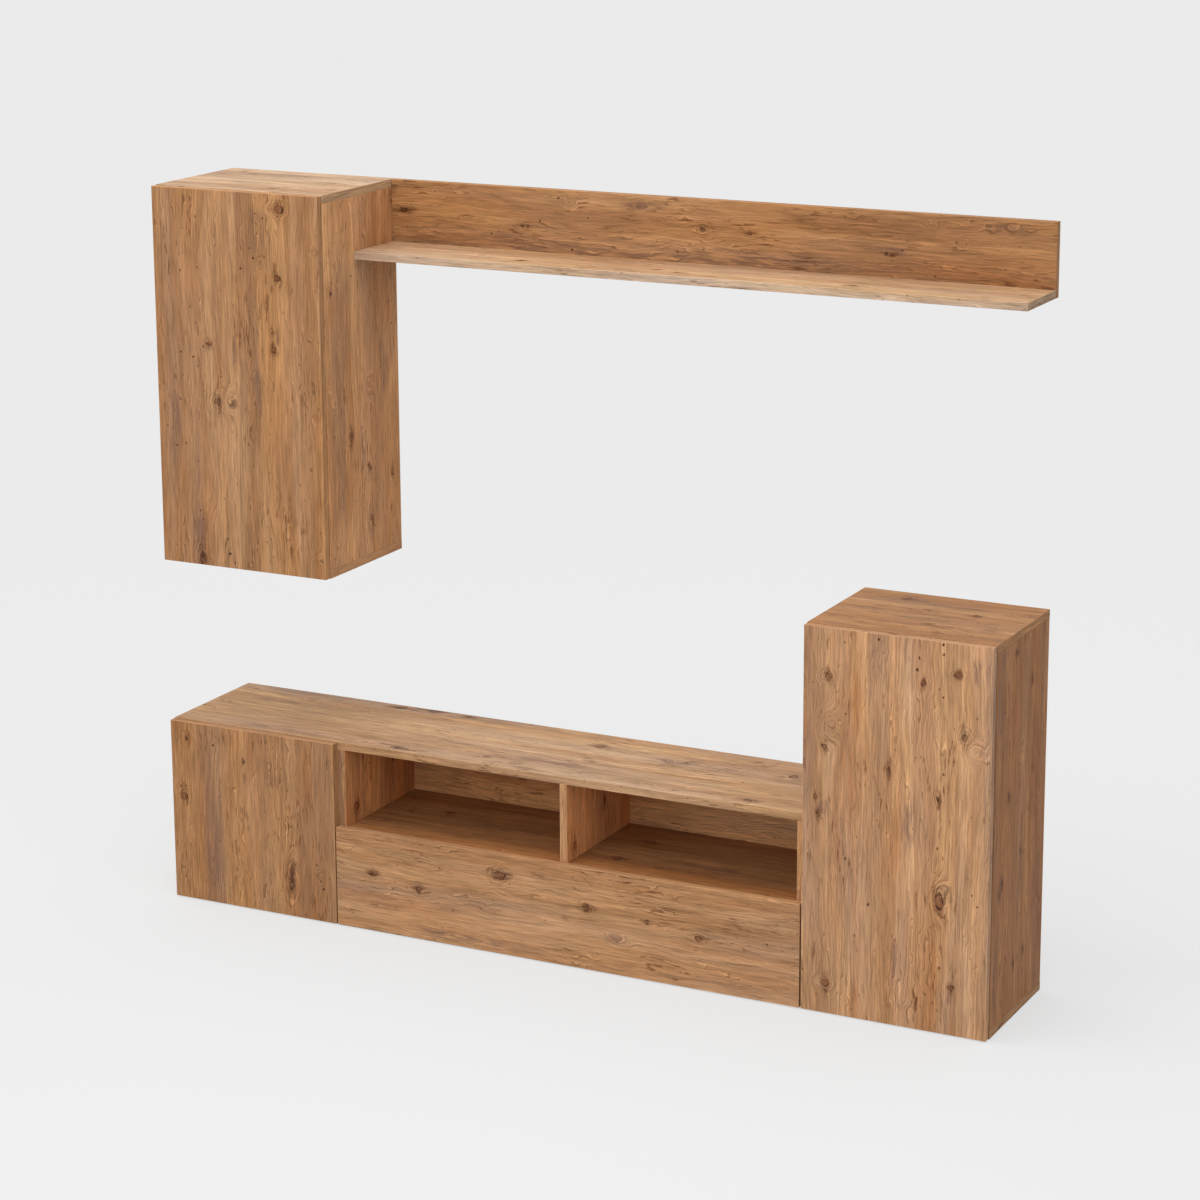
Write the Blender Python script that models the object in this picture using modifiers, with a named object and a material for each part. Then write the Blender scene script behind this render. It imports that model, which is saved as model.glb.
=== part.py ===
"""Television wall unit in faced board: a wall cabinet, a wall shelf, a bench and a tall cabinet.

Metres, +Z up. The origin is on the floor, under the middle of the whole unit, and the fronts
look along -Y. Each element has its own empty at the lower left front corner of its carcass:
there x runs to the right, y from the carcass front to the wall, and z up.
"""

import math

import bmesh
import bpy
from mathutils import Matrix, Vector

# Whole unit
UNIT_WIDTH = 1.800
CARCASS_DEPTH = 0.281
BOARD = 0.016
BACK_SHEET = 0.003
BACK_INSET = 0.0005
ARRIS = 0.0008
ARRIS_STEPS = 2
SEAT_GAP = 0.0003
CUT_OVERRUN = 0.002
WELD = 0.00002

# Elements
WALL_CABINET_WIDTH = 0.389
WALL_CABINET_HEIGHT = 0.771
WALL_CABINET_LIFT = 0.7265
WALL_SHELF_DEPTH = 0.167
BACKBOARD_HEIGHT = 0.142
BENCH_HEIGHT = 0.3865
BENCH_CABINET_WIDTH = 0.394
BAY_FLOOR_HEIGHT = 0.2075
TALL_CABINET_WIDTH = 0.376
TALL_CABINET_HEIGHT = 0.7615
SHELF_SETBACK = 0.012
SHELF_HEIGHT_SHARE = 0.5

# Fronts
FRONT_GAP = 0.0015
FRONT_REVEAL = 0.001
FLOOR_REVEAL = 0.002
FLAP_END_REVEAL = 0.002
FLAP_LIP = 0.0035

# Cup hinges. The axis lies inside the front, near its hinged edge.
AXIS_FROM_SIDE = 0.006
AXIS_FROM_FACE = 0.003
CUP_FROM_SIDE = 0.0225
CUP_RADIUS = 0.0175
CUP_DEPTH = 0.012
CUP_WALL = 0.001
CUP_STEPS = 24
RIM_WIDTH = 0.0015
RIM_THICKNESS = 0.0007
RIM_LIP = 0.0002
FLANGE_LENGTH = 0.056
FLANGE_WIDTH = 0.014
FLANGE_OFFSET = 0.005
HINGE_FROM_END = 0.100
ARM_LENGTH = 0.070
ARM_RISE = 0.0125
ARM_WIDTH = 0.012
ARM_WALL = 0.0015
ARM_STANDOFF = 0.0045
NOSE_REACH = 0.008
CHANNEL_START = 0.012
CHANNEL_END = 0.005
CHANNEL_DEPTH = 0.006
PLATE_LINE = 0.037
PLATE_LENGTH = 0.048
PLATE_WIDTH = 0.018
PLATE_THICKNESS = 0.003
# Outline of the arm from its nose: shares of its length, then of its rise
ARM_OUTLINE_SHARES = (
    (0.00, 0.12), (0.00, 0.58), (0.03, 0.70), (0.15, 0.80), (0.27, 1.00), (0.62, 1.00),
    (0.86, 0.76), (1.00, 0.52), (1.00, 0.12), (0.97, 0.00), (0.02, 0.00),
)

# Push latches
LATCH_LENGTH = 0.070
LATCH_WIDTH = 0.016
LATCH_HEIGHT = 0.014
LATCH_SETBACK = 0.002
LATCH_CORNER = 0.002
LATCH_CORNER_STEPS = 2
LATCH_EAR_LENGTH = 0.018
LATCH_EAR_WIDTH = 0.036
LATCH_EAR_HEIGHT = 0.003
LATCH_FROM_SIDE = 0.030
PLUNGER_RADIUS = 0.0035
PLUNGER_LENGTH = 0.060
PLUNGER_PLAY = 0.0004
PLUNGER_HEAD_RADIUS = 0.0045
PLUNGER_HEAD_LENGTH = 0.0025
PLUNGER_HEAD_EDGE = 0.0008
PLUNGER_STEPS = 16

# Flap stay: a slotted arm that turns on the flap and slides over a stud on the upright.
# The stud lies on the circle that the arm's pivot draws round the flap's axis, so the arm
# turns by exactly half of the flap's angle.
STAY_PIVOT_HEIGHT = 0.150
STAY_PIVOT_DEPTH = 0.012
STAY_STUD_ANGLE = math.radians(55)
STAY_OPEN_ANGLE = math.radians(90)
STAY_ARM_WIDTH = 0.015
STAY_ARM_THICKNESS = 0.0025
STAY_FROM_SIDE = 0.006
STAY_PLAY = 0.0005
STUD_RADIUS = 0.003
STUD_HEAD_RADIUS = 0.005
STUD_HEAD_THICKNESS = 0.0015
STUD_BASE_RADIUS = 0.011
STUD_BASE_THICKNESS = 0.002
STAY_STEPS = 16
LUG_THICKNESS = 0.002
LUG_WIDTH = 0.016
LUG_FOOT_LENGTH = 0.022
LUG_FOOT_HEIGHT = 0.034

# Hanging brackets of the wall cabinet
BRACKET_WIDTH = 0.014
BRACKET_DEPTH = 0.036
BRACKET_HEIGHT = 0.056
BRACKET_CORNER = 0.003
HOOK_WIDTH = 0.010
HOOK_HEIGHT = 0.016
HOOK_DROP = 0.014

# Finishes: colour, roughness, metallic
PINE = ((0.50, 0.29, 0.15), 0.5, 0)
STEEL = ((0.62, 0.62, 0.60), 0.3, 1)
PLASTIC = ((0.55, 0.55, 0.54), 0.5, 0)
SHARP_ANGLE = math.radians(30)

OVERALL_DEPTH = BOARD + FRONT_GAP + CARCASS_DEPTH
CARCASS_FRONT_Y = BOARD + FRONT_GAP - OVERALL_DEPTH / 2
SIDE_DEPTH = CARCASS_DEPTH - BACK_INSET - BACK_SHEET - SEAT_GAP
BENCH_LENGTH = UNIT_WIDTH - TALL_CABINET_WIDTH - SEAT_GAP
AXIS_Y = AXIS_FROM_FACE - BOARD - FRONT_GAP
QUARTER_TURN = math.radians(90)
# A flat outline stands up on these: on YZ its thickness runs along X, on ZX along Y
ONTO_YZ = Matrix.Rotation(QUARTER_TURN, 4, "Z") @ Matrix.Rotation(QUARTER_TURN, 4, "X")
ONTO_ZX = ONTO_YZ @ ONTO_YZ
# A turned piece stands along z; these lay its axis along X or Y
Z_TO_X = Matrix.Rotation(QUARTER_TURN, 4, "Y")
Z_TO_Y = Matrix.Rotation(-QUARTER_TURN, 4, "X")


def clear_scene():
    """Removes what the startup file holds."""
    for obj in list(bpy.data.objects):
        bpy.data.objects.remove(obj, do_unlink=True)


def make_collection(name):
    """Makes a collection under the scene's own."""
    collection = bpy.data.collections.new(name)
    bpy.context.scene.collection.children.link(collection)
    return collection


def make_material(name, colour, roughness, metallic):
    """Makes a Principled material."""
    material = bpy.data.materials.new(name)
    material.use_nodes = True
    shader = material.node_tree.nodes["Principled BSDF"]
    shader.inputs["Base Color"].default_value = (*colour, 1.0)
    shader.inputs["Roughness"].default_value = roughness
    shader.inputs["Metallic"].default_value = metallic
    material.diffuse_color = (*colour, 1.0)
    return material


clear_scene()
PARTS = make_collection("tv_wall_unit")
CUTTERS = make_collection("cutters")


def dress(obj, finish, rounded=False):
    """Gives the object a material of its own in one of the finishes."""
    if rounded:
        obj.data.shade_smooth()
        obj.data.set_sharp_from_angle(angle=SHARP_ANGLE)
    obj.data.materials.clear()
    obj.data.materials.append(make_material(obj.name, *finish))


def place(name, data, parent, location, collection=PARTS):
    """Makes an object of some data at a place in its parent's frame."""
    obj = bpy.data.objects.new(name, data)
    obj.parent = parent
    obj.location = location
    collection.objects.link(obj)
    return obj


def make_empty(name, location, parent=None):
    """Makes an empty, which carries the pieces of an element or of a moving front."""
    return place(name, None, parent, location)


def box_mesh(name, size, centre=(0, 0, 0)):
    """Makes a box mesh from Blender's cube."""
    mesh = bpy.data.meshes.new(name)
    bm = bmesh.new()
    matrix = Matrix.Translation(centre) @ Matrix.Diagonal((*size, 1))
    bmesh.ops.create_cube(bm, size=1, matrix=matrix)
    bm.to_mesh(mesh)
    bm.free()
    return mesh


def rod_mesh(name, radius, start, end, steps):
    """Makes a closed cylinder mesh along y, from start to end."""
    start, end = Vector(start), Vector(end)
    lying = Matrix.Translation((start + end) / 2) @ Z_TO_Y
    mesh = bpy.data.meshes.new(name)
    bm = bmesh.new()
    bmesh.ops.create_cone(
        bm, cap_ends=True, segments=steps, radius1=radius, radius2=radius,
        depth=(end - start).length, matrix=lying,
    )
    bm.to_mesh(mesh)
    bm.free()
    return mesh


def soften(obj, width, steps):
    """Rounds the object's edges."""
    bevel = obj.modifiers.new("rounded_edges", "BEVEL")
    bevel.width = width
    bevel.segments = steps
    bevel.limit_method = "ANGLE"


def helper(name, mesh, parent=None, location=(0, 0, 0)):
    """Makes a hidden object that cuts, joins or is turned."""
    obj = place(name, mesh, parent, location, CUTTERS)
    obj.hide_render = True
    obj.display_type = "WIRE"
    return obj


def combine(obj, other, operation):
    """Cuts another object from this one, or joins it on."""
    modifier = obj.modifiers.new(f"{operation.lower()}_{other.name}", "BOOLEAN")
    modifier.operation = operation
    modifier.object = other


def baked_mesh(name, obj, used=()):
    """Makes a mesh of what the object's modifiers give, then removes it and what it used."""
    bpy.context.view_layer.update()
    graph = bpy.context.evaluated_depsgraph_get()
    mesh = bpy.data.meshes.new_from_object(obj.evaluated_get(graph))
    mesh.name = name
    bm = bmesh.new()
    bm.from_mesh(mesh)
    bmesh.ops.remove_doubles(bm, verts=bm.verts, dist=WELD)
    bm.to_mesh(mesh)
    bm.free()
    for gone in (obj, *used):
        bpy.data.objects.remove(gone, do_unlink=True)
    return mesh


def outline_mesh(name, outlines, thickness, matrix):
    """Makes a flat plate from closed outlines, the later ones holes, standing on z = 0."""
    curve = bpy.data.curves.new(name, "CURVE")
    curve.dimensions = "2D"
    curve.fill_mode = "BOTH"
    curve.extrude = thickness / 2
    for outline in outlines:
        spline = curve.splines.new("POLY")
        spline.points.add(len(outline) - 1)
        for point, (x, y) in zip(spline.points, outline):
            point.co = (x, y, 0, 1)
        spline.use_cyclic_u = True
    mesh = baked_mesh(name, helper(name, curve))
    mesh.transform(matrix @ Matrix.Translation((0, 0, thickness / 2)))
    return mesh


def turned_mesh(name, profile, steps, matrix):
    """Turns a profile of radius and height, listed from its top down, round the z axis."""
    mesh = bpy.data.meshes.new(name)
    points = [(radius, 0, height) for radius, height in profile]
    mesh.from_pydata(points, [(i, i + 1) for i in range(len(points) - 1)], [])
    line = helper(name, mesh)
    screw = line.modifiers.new("turned", "SCREW")
    screw.steps = screw.render_steps = steps
    screw.use_merge_vertices = True
    screw.merge_threshold = WELD
    solid = baked_mesh(name, line)
    solid.transform(matrix)
    return solid


def arc(centre, radius, start, end, steps):
    """Points on an arc."""
    turns = [start + (end - start) * step / steps for step in range(steps + 1)]
    return [(centre[0] + radius * math.cos(t), centre[1] + radius * math.sin(t)) for t in turns]


def stadium(start, end, radius, steps):
    """Points round a straight slot or bar with round ends, from start to end along x."""
    right = arc((end, 0), radius, -QUARTER_TURN, QUARTER_TURN, steps)
    left = arc((start, 0), radius, QUARTER_TURN, QUARTER_TURN + math.pi, steps)
    return right + left


def board(name, parent, low, high):
    """Makes a board between two corners, with its edges just broken."""
    low, high = Vector(low), Vector(high)
    obj = place(name, box_mesh(name, high - low), parent, (low + high) / 2)
    soften(obj, ARRIS, ARRIS_STEPS)
    dress(obj, PINE)
    return obj


def back_sheet(name, parent, width, height):
    """Makes the thin back between top and bottom, nailed on behind the sides."""
    low = Vector((BACK_INSET, SIDE_DEPTH + SEAT_GAP, BOARD + SEAT_GAP))
    high = Vector((width - BACK_INSET, CARCASS_DEPTH - BACK_INSET, height - BOARD - SEAT_GAP))
    obj = place(name, box_mesh(name, high - low), parent, (low + high) / 2)
    dress(obj, PINE)
    return obj


def upright(name, parent, left, foot, head):
    """Makes a standing board whose left face is at left, from foot to head less their gaps."""
    low = (left, 0, foot + SEAT_GAP)
    high = (left + BOARD, SIDE_DEPTH, head - SEAT_GAP)
    return board(name, parent, low, high)


def inner_shelf(name, parent, left, right, height):
    """Makes a shelf between two uprights, whose underside is at height."""
    low = (left + SEAT_GAP, SHELF_SETBACK, height)
    high = (right - SEAT_GAP, SIDE_DEPTH, height + BOARD)
    return board(name, parent, low, high)


def box_carcass(prefix, frame, width, height):
    """Makes a closed cabinet's boards and gives the height of its shelf's underside."""
    board(f"{prefix}_bottom", frame, (0, 0, 0), (width, CARCASS_DEPTH, BOARD))
    board(f"{prefix}_top", frame, (0, 0, height - BOARD), (width, CARCASS_DEPTH, height))
    upright(f"{prefix}_left_side", frame, 0, BOARD, height - BOARD)
    upright(f"{prefix}_right_side", frame, width - BOARD, BOARD, height - BOARD)
    back_sheet(f"{prefix}_back", frame, width, height)
    shelf = (height - BOARD) * SHELF_HEIGHT_SHARE
    inner_shelf(f"{prefix}_shelf", frame, BOARD, width - BOARD, shelf)
    return shelf


def front_panel(name, axis, low, high):
    """Makes a door or flap in its axis's frame, from corners given in its element's frame."""
    forward = Vector((0, -FRONT_GAP - BOARD, 0))
    low = Vector(low) + forward - axis.location
    high = Vector(high) + forward - axis.location
    high.y += BOARD
    return board(name, axis, low, high)


def hinge_arm_mesh():
    """Makes the steel arm with its wing plate. The hinge's axis is at the origin, x leads away
    from the hinged edge, y into the cabinet, and z lies along the axis."""
    inner = BOARD - AXIS_FROM_SIDE
    under = inner + ARM_STANDOFF
    nose = BOARD - NOSE_REACH - AXIS_FROM_FACE
    plate_y = BOARD + FRONT_GAP - AXIS_FROM_FACE + PLATE_LINE
    outline = [
        (under + ARM_RISE * rise, nose + ARM_LENGTH * along) for along, rise in ARM_OUTLINE_SHARES
    ]
    sunk = Matrix.Translation((0, 0, -ARM_WIDTH / 2))
    arm = helper("arm", outline_mesh("arm", [outline], ARM_WIDTH, sunk))
    low = Vector((under - CUT_OVERRUN, nose + CHANNEL_START, ARM_WALL - ARM_WIDTH / 2))
    high = Vector((under + CHANNEL_DEPTH, nose + ARM_LENGTH - CHANNEL_END, -low.z))
    channel = helper("channel", box_mesh("channel", high - low, (low + high) / 2))
    reach = (PLATE_LENGTH - PLATE_WIDTH) / 2
    wings = stadium(-reach, reach, PLATE_WIDTH / 2, CUP_STEPS // 4)
    stand = Matrix.Translation((inner + SEAT_GAP, plate_y, 0))
    stand = stand @ Z_TO_X
    plate = helper("plate", outline_mesh("plate", [wings], PLATE_THICKNESS, stand))
    size = Vector((ARM_STANDOFF + CHANNEL_DEPTH / 2, PLATE_WIDTH, ARM_WIDTH - ARM_WALL))
    size.x -= SEAT_GAP
    middle = (inner + SEAT_GAP + size.x / 2, plate_y, 0)
    block = helper("block", box_mesh("block", size, middle))
    combine(arm, channel, "DIFFERENCE")
    combine(arm, block, "UNION")
    combine(arm, plate, "UNION")
    return baked_mesh("hinge_arm", arm, (channel, plate, block))


def flange_outline(radius):
    """Points round the cup's round rim and its two screw ears, along z and then x."""
    half = FLANGE_WIDTH / 2
    reach = FLANGE_LENGTH / 2 - half
    near = math.asin((FLANGE_OFFSET - half) / radius)
    far = math.asin((FLANGE_OFFSET + half) / radius)
    steps = CUP_STEPS // 4
    ear = arc((reach, FLANGE_OFFSET), half, -QUARTER_TURN, QUARTER_TURN, steps)
    other_ear = arc((-reach, FLANGE_OFFSET), half, QUARTER_TURN, QUARTER_TURN * 3, steps)
    return (
        ear + arc((0, 0), radius, far, math.pi - far, steps)
        + other_ear + arc((0, 0), radius, math.pi - near, 2 * math.pi + near, steps * 2)
    )


def hinge_cup_mesh():
    """Makes the cup and its flange, in the same frame as the arm."""
    centre = Matrix.Translation((CUP_FROM_SIDE - AXIS_FROM_SIDE, 0, 0))
    face = BOARD - AXIS_FROM_FACE + SEAT_GAP
    foot = face - CUP_DEPTH
    lip = face + RIM_THICKNESS + RIM_LIP
    outer = CUP_RADIUS - SEAT_GAP
    inner = outer - CUP_WALL
    profile = (
        (0, foot + CUP_WALL), (inner, foot + CUP_WALL), (inner, lip), (outer, lip),
        (outer, foot), (0, foot),
    )
    cup = helper("cup", turned_mesh("cup", profile, CUP_STEPS, centre @ Z_TO_Y))
    eye = arc((0, 0), (inner + outer) / 2, 0, 2 * math.pi, CUP_STEPS)[:-1]
    outlines = [flange_outline(CUP_RADIUS + RIM_WIDTH), eye]
    stand = centre @ Matrix.Translation((0, face, 0)) @ ONTO_ZX
    flange = helper("flange", outline_mesh("flange", outlines, RIM_THICKNESS, stand))
    combine(cup, flange, "UNION")
    return baked_mesh("hinge_cup", cup, [flange])


def hinge(name, meshes, frame, axis, along, turn, front):
    """Places one hinge: its arm on the carcass, its cup on the front, and the front's bore."""
    arm_shape, cup_shape = meshes
    arm = place(f"{name}_arm", arm_shape.copy(), frame, axis.location + along)
    cup = place(f"{name}_cup", cup_shape.copy(), axis, along)
    across = CUP_FROM_SIDE - AXIS_FROM_SIDE
    face = BOARD - AXIS_FROM_FACE
    start, end = (across, face - CUP_DEPTH, 0), (across, face + CUT_OVERRUN, 0)
    bore_shape = rod_mesh(f"{name}_bore", CUP_RADIUS, start, end, CUP_STEPS)
    bore = helper(f"{name}_bore", bore_shape, axis, along)
    for obj in (arm, cup, bore):
        obj.rotation_euler = (0, turn, 0)
    for obj in (arm, cup):
        dress(obj, STEEL, rounded=True)
    combine(front, bore, "DIFFERENCE")


def latch_housing_mesh():
    """Makes a push latch's housing. Its plunger's line is the y axis, from the carcass front."""
    middle = LATCH_SETBACK + LATCH_LENGTH / 2
    size = (LATCH_WIDTH, LATCH_LENGTH, LATCH_HEIGHT)
    body = helper("body", box_mesh("body", size, (0, middle, 0)))
    soften(body, LATCH_CORNER, LATCH_CORNER_STEPS)
    size = (LATCH_EAR_WIDTH, LATCH_EAR_LENGTH, LATCH_EAR_HEIGHT)
    ears = helper("ears", box_mesh("ears", size, (0, middle, (LATCH_HEIGHT - size[2]) / 2)))
    start, end = (0, LATCH_SETBACK - CUT_OVERRUN, 0), (0, PLUNGER_LENGTH + PLUNGER_PLAY, 0)
    radius = PLUNGER_RADIUS + PLUNGER_PLAY
    bore = helper("bore", rod_mesh("bore", radius, start, end, PLUNGER_STEPS))
    combine(body, ears, "UNION")
    combine(body, bore, "DIFFERENCE")
    return baked_mesh("latch_housing", body, (ears, bore))


def plunger_mesh():
    """Turns the plunger, whose tip rests just behind the front."""
    tip = SEAT_GAP - FRONT_GAP
    shoulder = tip + PLUNGER_HEAD_LENGTH
    edge = PLUNGER_HEAD_EDGE
    profile = (
        (0, PLUNGER_LENGTH), (PLUNGER_RADIUS, PLUNGER_LENGTH), (PLUNGER_RADIUS, shoulder),
        (PLUNGER_HEAD_RADIUS, shoulder), (PLUNGER_HEAD_RADIUS, tip + edge),
        (PLUNGER_HEAD_RADIUS - edge, tip), (0, tip),
    )
    return turned_mesh("plunger", profile, PLUNGER_STEPS, Z_TO_Y)


def latch(name, frame, x, ceiling):
    """Fixes a push latch under a board whose underside is at ceiling."""
    spot = (x, 0, ceiling - SEAT_GAP - LATCH_HEIGHT / 2)
    housing = place(f"{name}_latch_housing", latch_housing_mesh(), frame, spot)
    plunger = place(f"{name}_latch_plunger", plunger_mesh(), frame, spot)
    for obj in (housing, plunger):
        dress(obj, PLASTIC, rounded=True)


def swing_door(prefix, frame, low, high, hinged_left, meshes):
    """Makes a door on two cup hinges. Its corners are given in the element's frame."""
    side = low[0] - FRONT_REVEAL + AXIS_FROM_SIDE
    turn = 0
    if not hinged_left:
        side = high[0] + FRONT_REVEAL - AXIS_FROM_SIDE
        turn = math.pi
    axis = make_empty(f"{prefix}_door_axis", (side, AXIS_Y, low[2]), frame)
    door = front_panel(f"{prefix}_door", axis, low, high)
    heights = {"lower": HINGE_FROM_END, "upper": high[2] - low[2] - HINGE_FROM_END}
    for spot, height in heights.items():
        along = Vector((0, 0, height))
        hinge(f"{prefix}_hinge_{spot}", meshes, frame, axis, along, turn, door)


def hanging_bracket(side, frame, left):
    """Makes the steel bracket in a top rear corner, whose hook passes through the back."""
    name = f"hanging_bracket_{side}"
    size = Vector((BRACKET_WIDTH, BRACKET_DEPTH, BRACKET_HEIGHT))
    high = Vector((left + size.x, SIDE_DEPTH, WALL_CABINET_HEIGHT - BOARD - SEAT_GAP))
    bracket = place(name, box_mesh(name, size), frame, high - size / 2)
    soften(bracket, BRACKET_CORNER, LATCH_CORNER_STEPS)
    hook_x = left + (BRACKET_WIDTH - HOOK_WIDTH) / 2
    hook_z = high.z - HOOK_DROP
    low = Vector((hook_x, SIDE_DEPTH - BRACKET_CORNER - CUT_OVERRUN, hook_z - HOOK_HEIGHT))
    high = Vector((hook_x + HOOK_WIDTH, CARCASS_DEPTH, hook_z))
    hook = helper(f"{name}_hook", box_mesh(name, high - low), frame, (low + high) / 2)
    combine(bracket, hook, "UNION")
    room = Vector((SEAT_GAP, CUT_OVERRUN, SEAT_GAP)) * 2
    slot = helper(f"{name}_slot", box_mesh(name, high - low + room), frame, (low + high) / 2)
    combine(bpy.data.objects["wall_cabinet_back"], slot, "DIFFERENCE")
    dress(bracket, STEEL)


def wall_cabinet(meshes):
    """Makes the cabinet that hangs at the top left."""
    corner = (-UNIT_WIDTH / 2, CARCASS_FRONT_Y, WALL_CABINET_LIFT)
    frame = make_empty("wall_cabinet", corner)
    width, height = WALL_CABINET_WIDTH, WALL_CABINET_HEIGHT
    shelf = box_carcass("wall_cabinet", frame, width, height)
    low = (FRONT_REVEAL, 0, FRONT_REVEAL)
    high = (width - FRONT_REVEAL, 0, height - FRONT_REVEAL)
    swing_door("wall_cabinet", frame, low, high, True, meshes)
    latch("wall_cabinet", frame, width - BOARD - LATCH_FROM_SIDE, shelf)
    hanging_bracket("left", frame, BOARD + SEAT_GAP)
    hanging_bracket("right", frame, width - BOARD - SEAT_GAP - BRACKET_WIDTH)


def wall_shelf():
    """Makes the long shelf beside the wall cabinet, with its backboard against the wall."""
    left = WALL_CABINET_WIDTH + SEAT_GAP
    head = WALL_CABINET_LIFT + WALL_CABINET_HEIGHT
    corner = (left - UNIT_WIDTH / 2, CARCASS_FRONT_Y, head - BACKBOARD_HEIGHT)
    frame = make_empty("wall_shelf", corner)
    length = UNIT_WIDTH - left
    face = CARCASS_DEPTH - BOARD
    board("wall_shelf_backboard", frame, (0, face, 0), (length, CARCASS_DEPTH, BACKBOARD_HEIGHT))
    low = (0, CARCASS_DEPTH - WALL_SHELF_DEPTH, 0)
    board("wall_shelf_board", frame, low, (length, face - SEAT_GAP, BOARD))


def bench(meshes):
    """Makes the bench: a door cabinet, and two open bays over a compartment with a flap."""
    frame = make_empty("bench", (-UNIT_WIDTH / 2, CARCASS_FRONT_Y, 0))
    length, height, split = BENCH_LENGTH, BENCH_HEIGHT, BENCH_CABINET_WIDTH
    under_top = height - BOARD
    board("bench_bottom", frame, (0, 0, 0), (length, CARCASS_DEPTH, BOARD))
    board("bench_top", frame, (0, 0, under_top), (length, CARCASS_DEPTH, height))
    bay_left, bay_right = split + SEAT_GAP + BOARD, length - BOARD
    for name, left in (
        ("left_side", 0),
        ("partition", split - BOARD),
        ("left_upright", bay_left - BOARD),
        ("right_upright", bay_right),
    ):
        upright(f"bench_{name}", frame, left, BOARD, under_top)
    low = (bay_left + SEAT_GAP, 0, BAY_FLOOR_HEIGHT - BOARD)
    board("bench_bay_floor", frame, low, (bay_right - SEAT_GAP, SIDE_DEPTH, BAY_FLOOR_HEIGHT))
    middle = (bay_left + bay_right) / 2
    upright("bench_divider", frame, middle - BOARD / 2, BAY_FLOOR_HEIGHT, under_top)
    back_sheet("bench_back", frame, length, height)
    shelf = under_top * SHELF_HEIGHT_SHARE
    inner_shelf("bench_cabinet_shelf", frame, BOARD, split - BOARD, shelf)
    low = (FRONT_REVEAL, 0, FLOOR_REVEAL)
    high = (split - FRONT_REVEAL, 0, height - FRONT_REVEAL)
    swing_door("bench", frame, low, high, True, meshes)
    latch("bench_door", frame, split - BOARD - LATCH_FROM_SIDE, shelf)
    flap(frame, split, length, meshes)
    latch("bench_flap", frame, middle, BAY_FLOOR_HEIGHT - BOARD)
    flap_stay(frame, bpy.data.objects["bench_flap_axis"], bay_left)


def flap(frame, left, right, meshes):
    """Makes the wide flap, hinged along its lower edge."""
    low = (left + FLAP_END_REVEAL, 0, FLOOR_REVEAL)
    high = (right - FLAP_END_REVEAL, 0, BAY_FLOOR_HEIGHT + FLAP_LIP)
    axis = make_empty("bench_flap_axis", (low[0], AXIS_Y, AXIS_FROM_SIDE), frame)
    panel = front_panel("bench_flap", axis, low, high)
    width = high[0] - low[0]
    for spot, along in (
        ("left", HINGE_FROM_END),
        ("middle", width / 2),
        ("right", width - HINGE_FROM_END),
    ):
        along = Vector((along, 0, 0))
        hinge(f"flap_hinge_{spot}", meshes, frame, axis, along, -QUARTER_TURN, panel)


def flap_stay(frame, axis, side):
    """Makes the stay beside the inner face, at side, of the left upright."""
    depth = BOARD - AXIS_FROM_FACE + STAY_PIVOT_DEPTH
    rise = STAY_PIVOT_HEIGHT - AXIS_FROM_SIDE
    pivot = Vector((side + STAY_FROM_SIDE, AXIS_Y + depth, STAY_PIVOT_HEIGHT))
    radius = math.hypot(depth, rise)
    rest = math.atan2(rise, depth)
    round_axis = Vector((0, math.cos(STAY_STUD_ANGLE), math.sin(STAY_STUD_ANGLE))) * radius
    stud = Vector((side, AXIS_Y, AXIS_FROM_SIDE)) + round_axis
    shortest = 2 * radius * math.sin((rest - STAY_STUD_ANGLE) / 2)
    longest = 2 * radius * math.sin((rest + STAY_OPEN_ANGLE - STAY_STUD_ANGLE) / 2)
    stay_arm(frame, pivot, stud, shortest, longest)
    stay_stud(frame, stud)
    stay_bracket(axis, pivot - axis.location)


def stay_arm(frame, pivot, stud, shortest, longest):
    """Makes the slotted bar, whose origin is its pivot on the flap."""
    hole = STUD_RADIUS + STAY_PLAY
    bar = stadium(0, longest + hole, STAY_ARM_WIDTH / 2, STAY_STEPS // 2)
    eye = stadium(0, 0, hole, STAY_STEPS // 2)
    slot = stadium(shortest - STAY_PLAY, longest + STAY_PLAY, hole, STAY_STEPS // 2)
    mesh = outline_mesh("flap_stay_arm", [bar, eye, slot], STAY_ARM_THICKNESS, ONTO_YZ)
    arm = place("flap_stay_arm", mesh, frame, pivot)
    arm.rotation_euler = (math.atan2(stud.z - pivot.z, stud.y - pivot.y), 0, 0)
    dress(arm, STEEL)


def stay_stud(frame, stud):
    """Makes the headed stud on its round base, which the stay's arm slides over."""
    shoulder = STAY_FROM_SIDE + STAY_ARM_THICKNESS + STAY_PLAY
    head = shoulder + STUD_HEAD_THICKNESS
    profile = (
        (0, head), (STUD_HEAD_RADIUS, head), (STUD_HEAD_RADIUS, shoulder),
        (STUD_RADIUS, shoulder), (STUD_RADIUS, STUD_BASE_THICKNESS),
        (STUD_BASE_RADIUS, STUD_BASE_THICKNESS), (STUD_BASE_RADIUS, 0), (0, 0),
    )
    mesh = turned_mesh("flap_stay_stud", profile, STAY_STEPS, Z_TO_X)
    obj = place("flap_stay_stud", mesh, frame, stud + Vector((SEAT_GAP, 0, 0)))
    dress(obj, STEEL, rounded=True)


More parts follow.
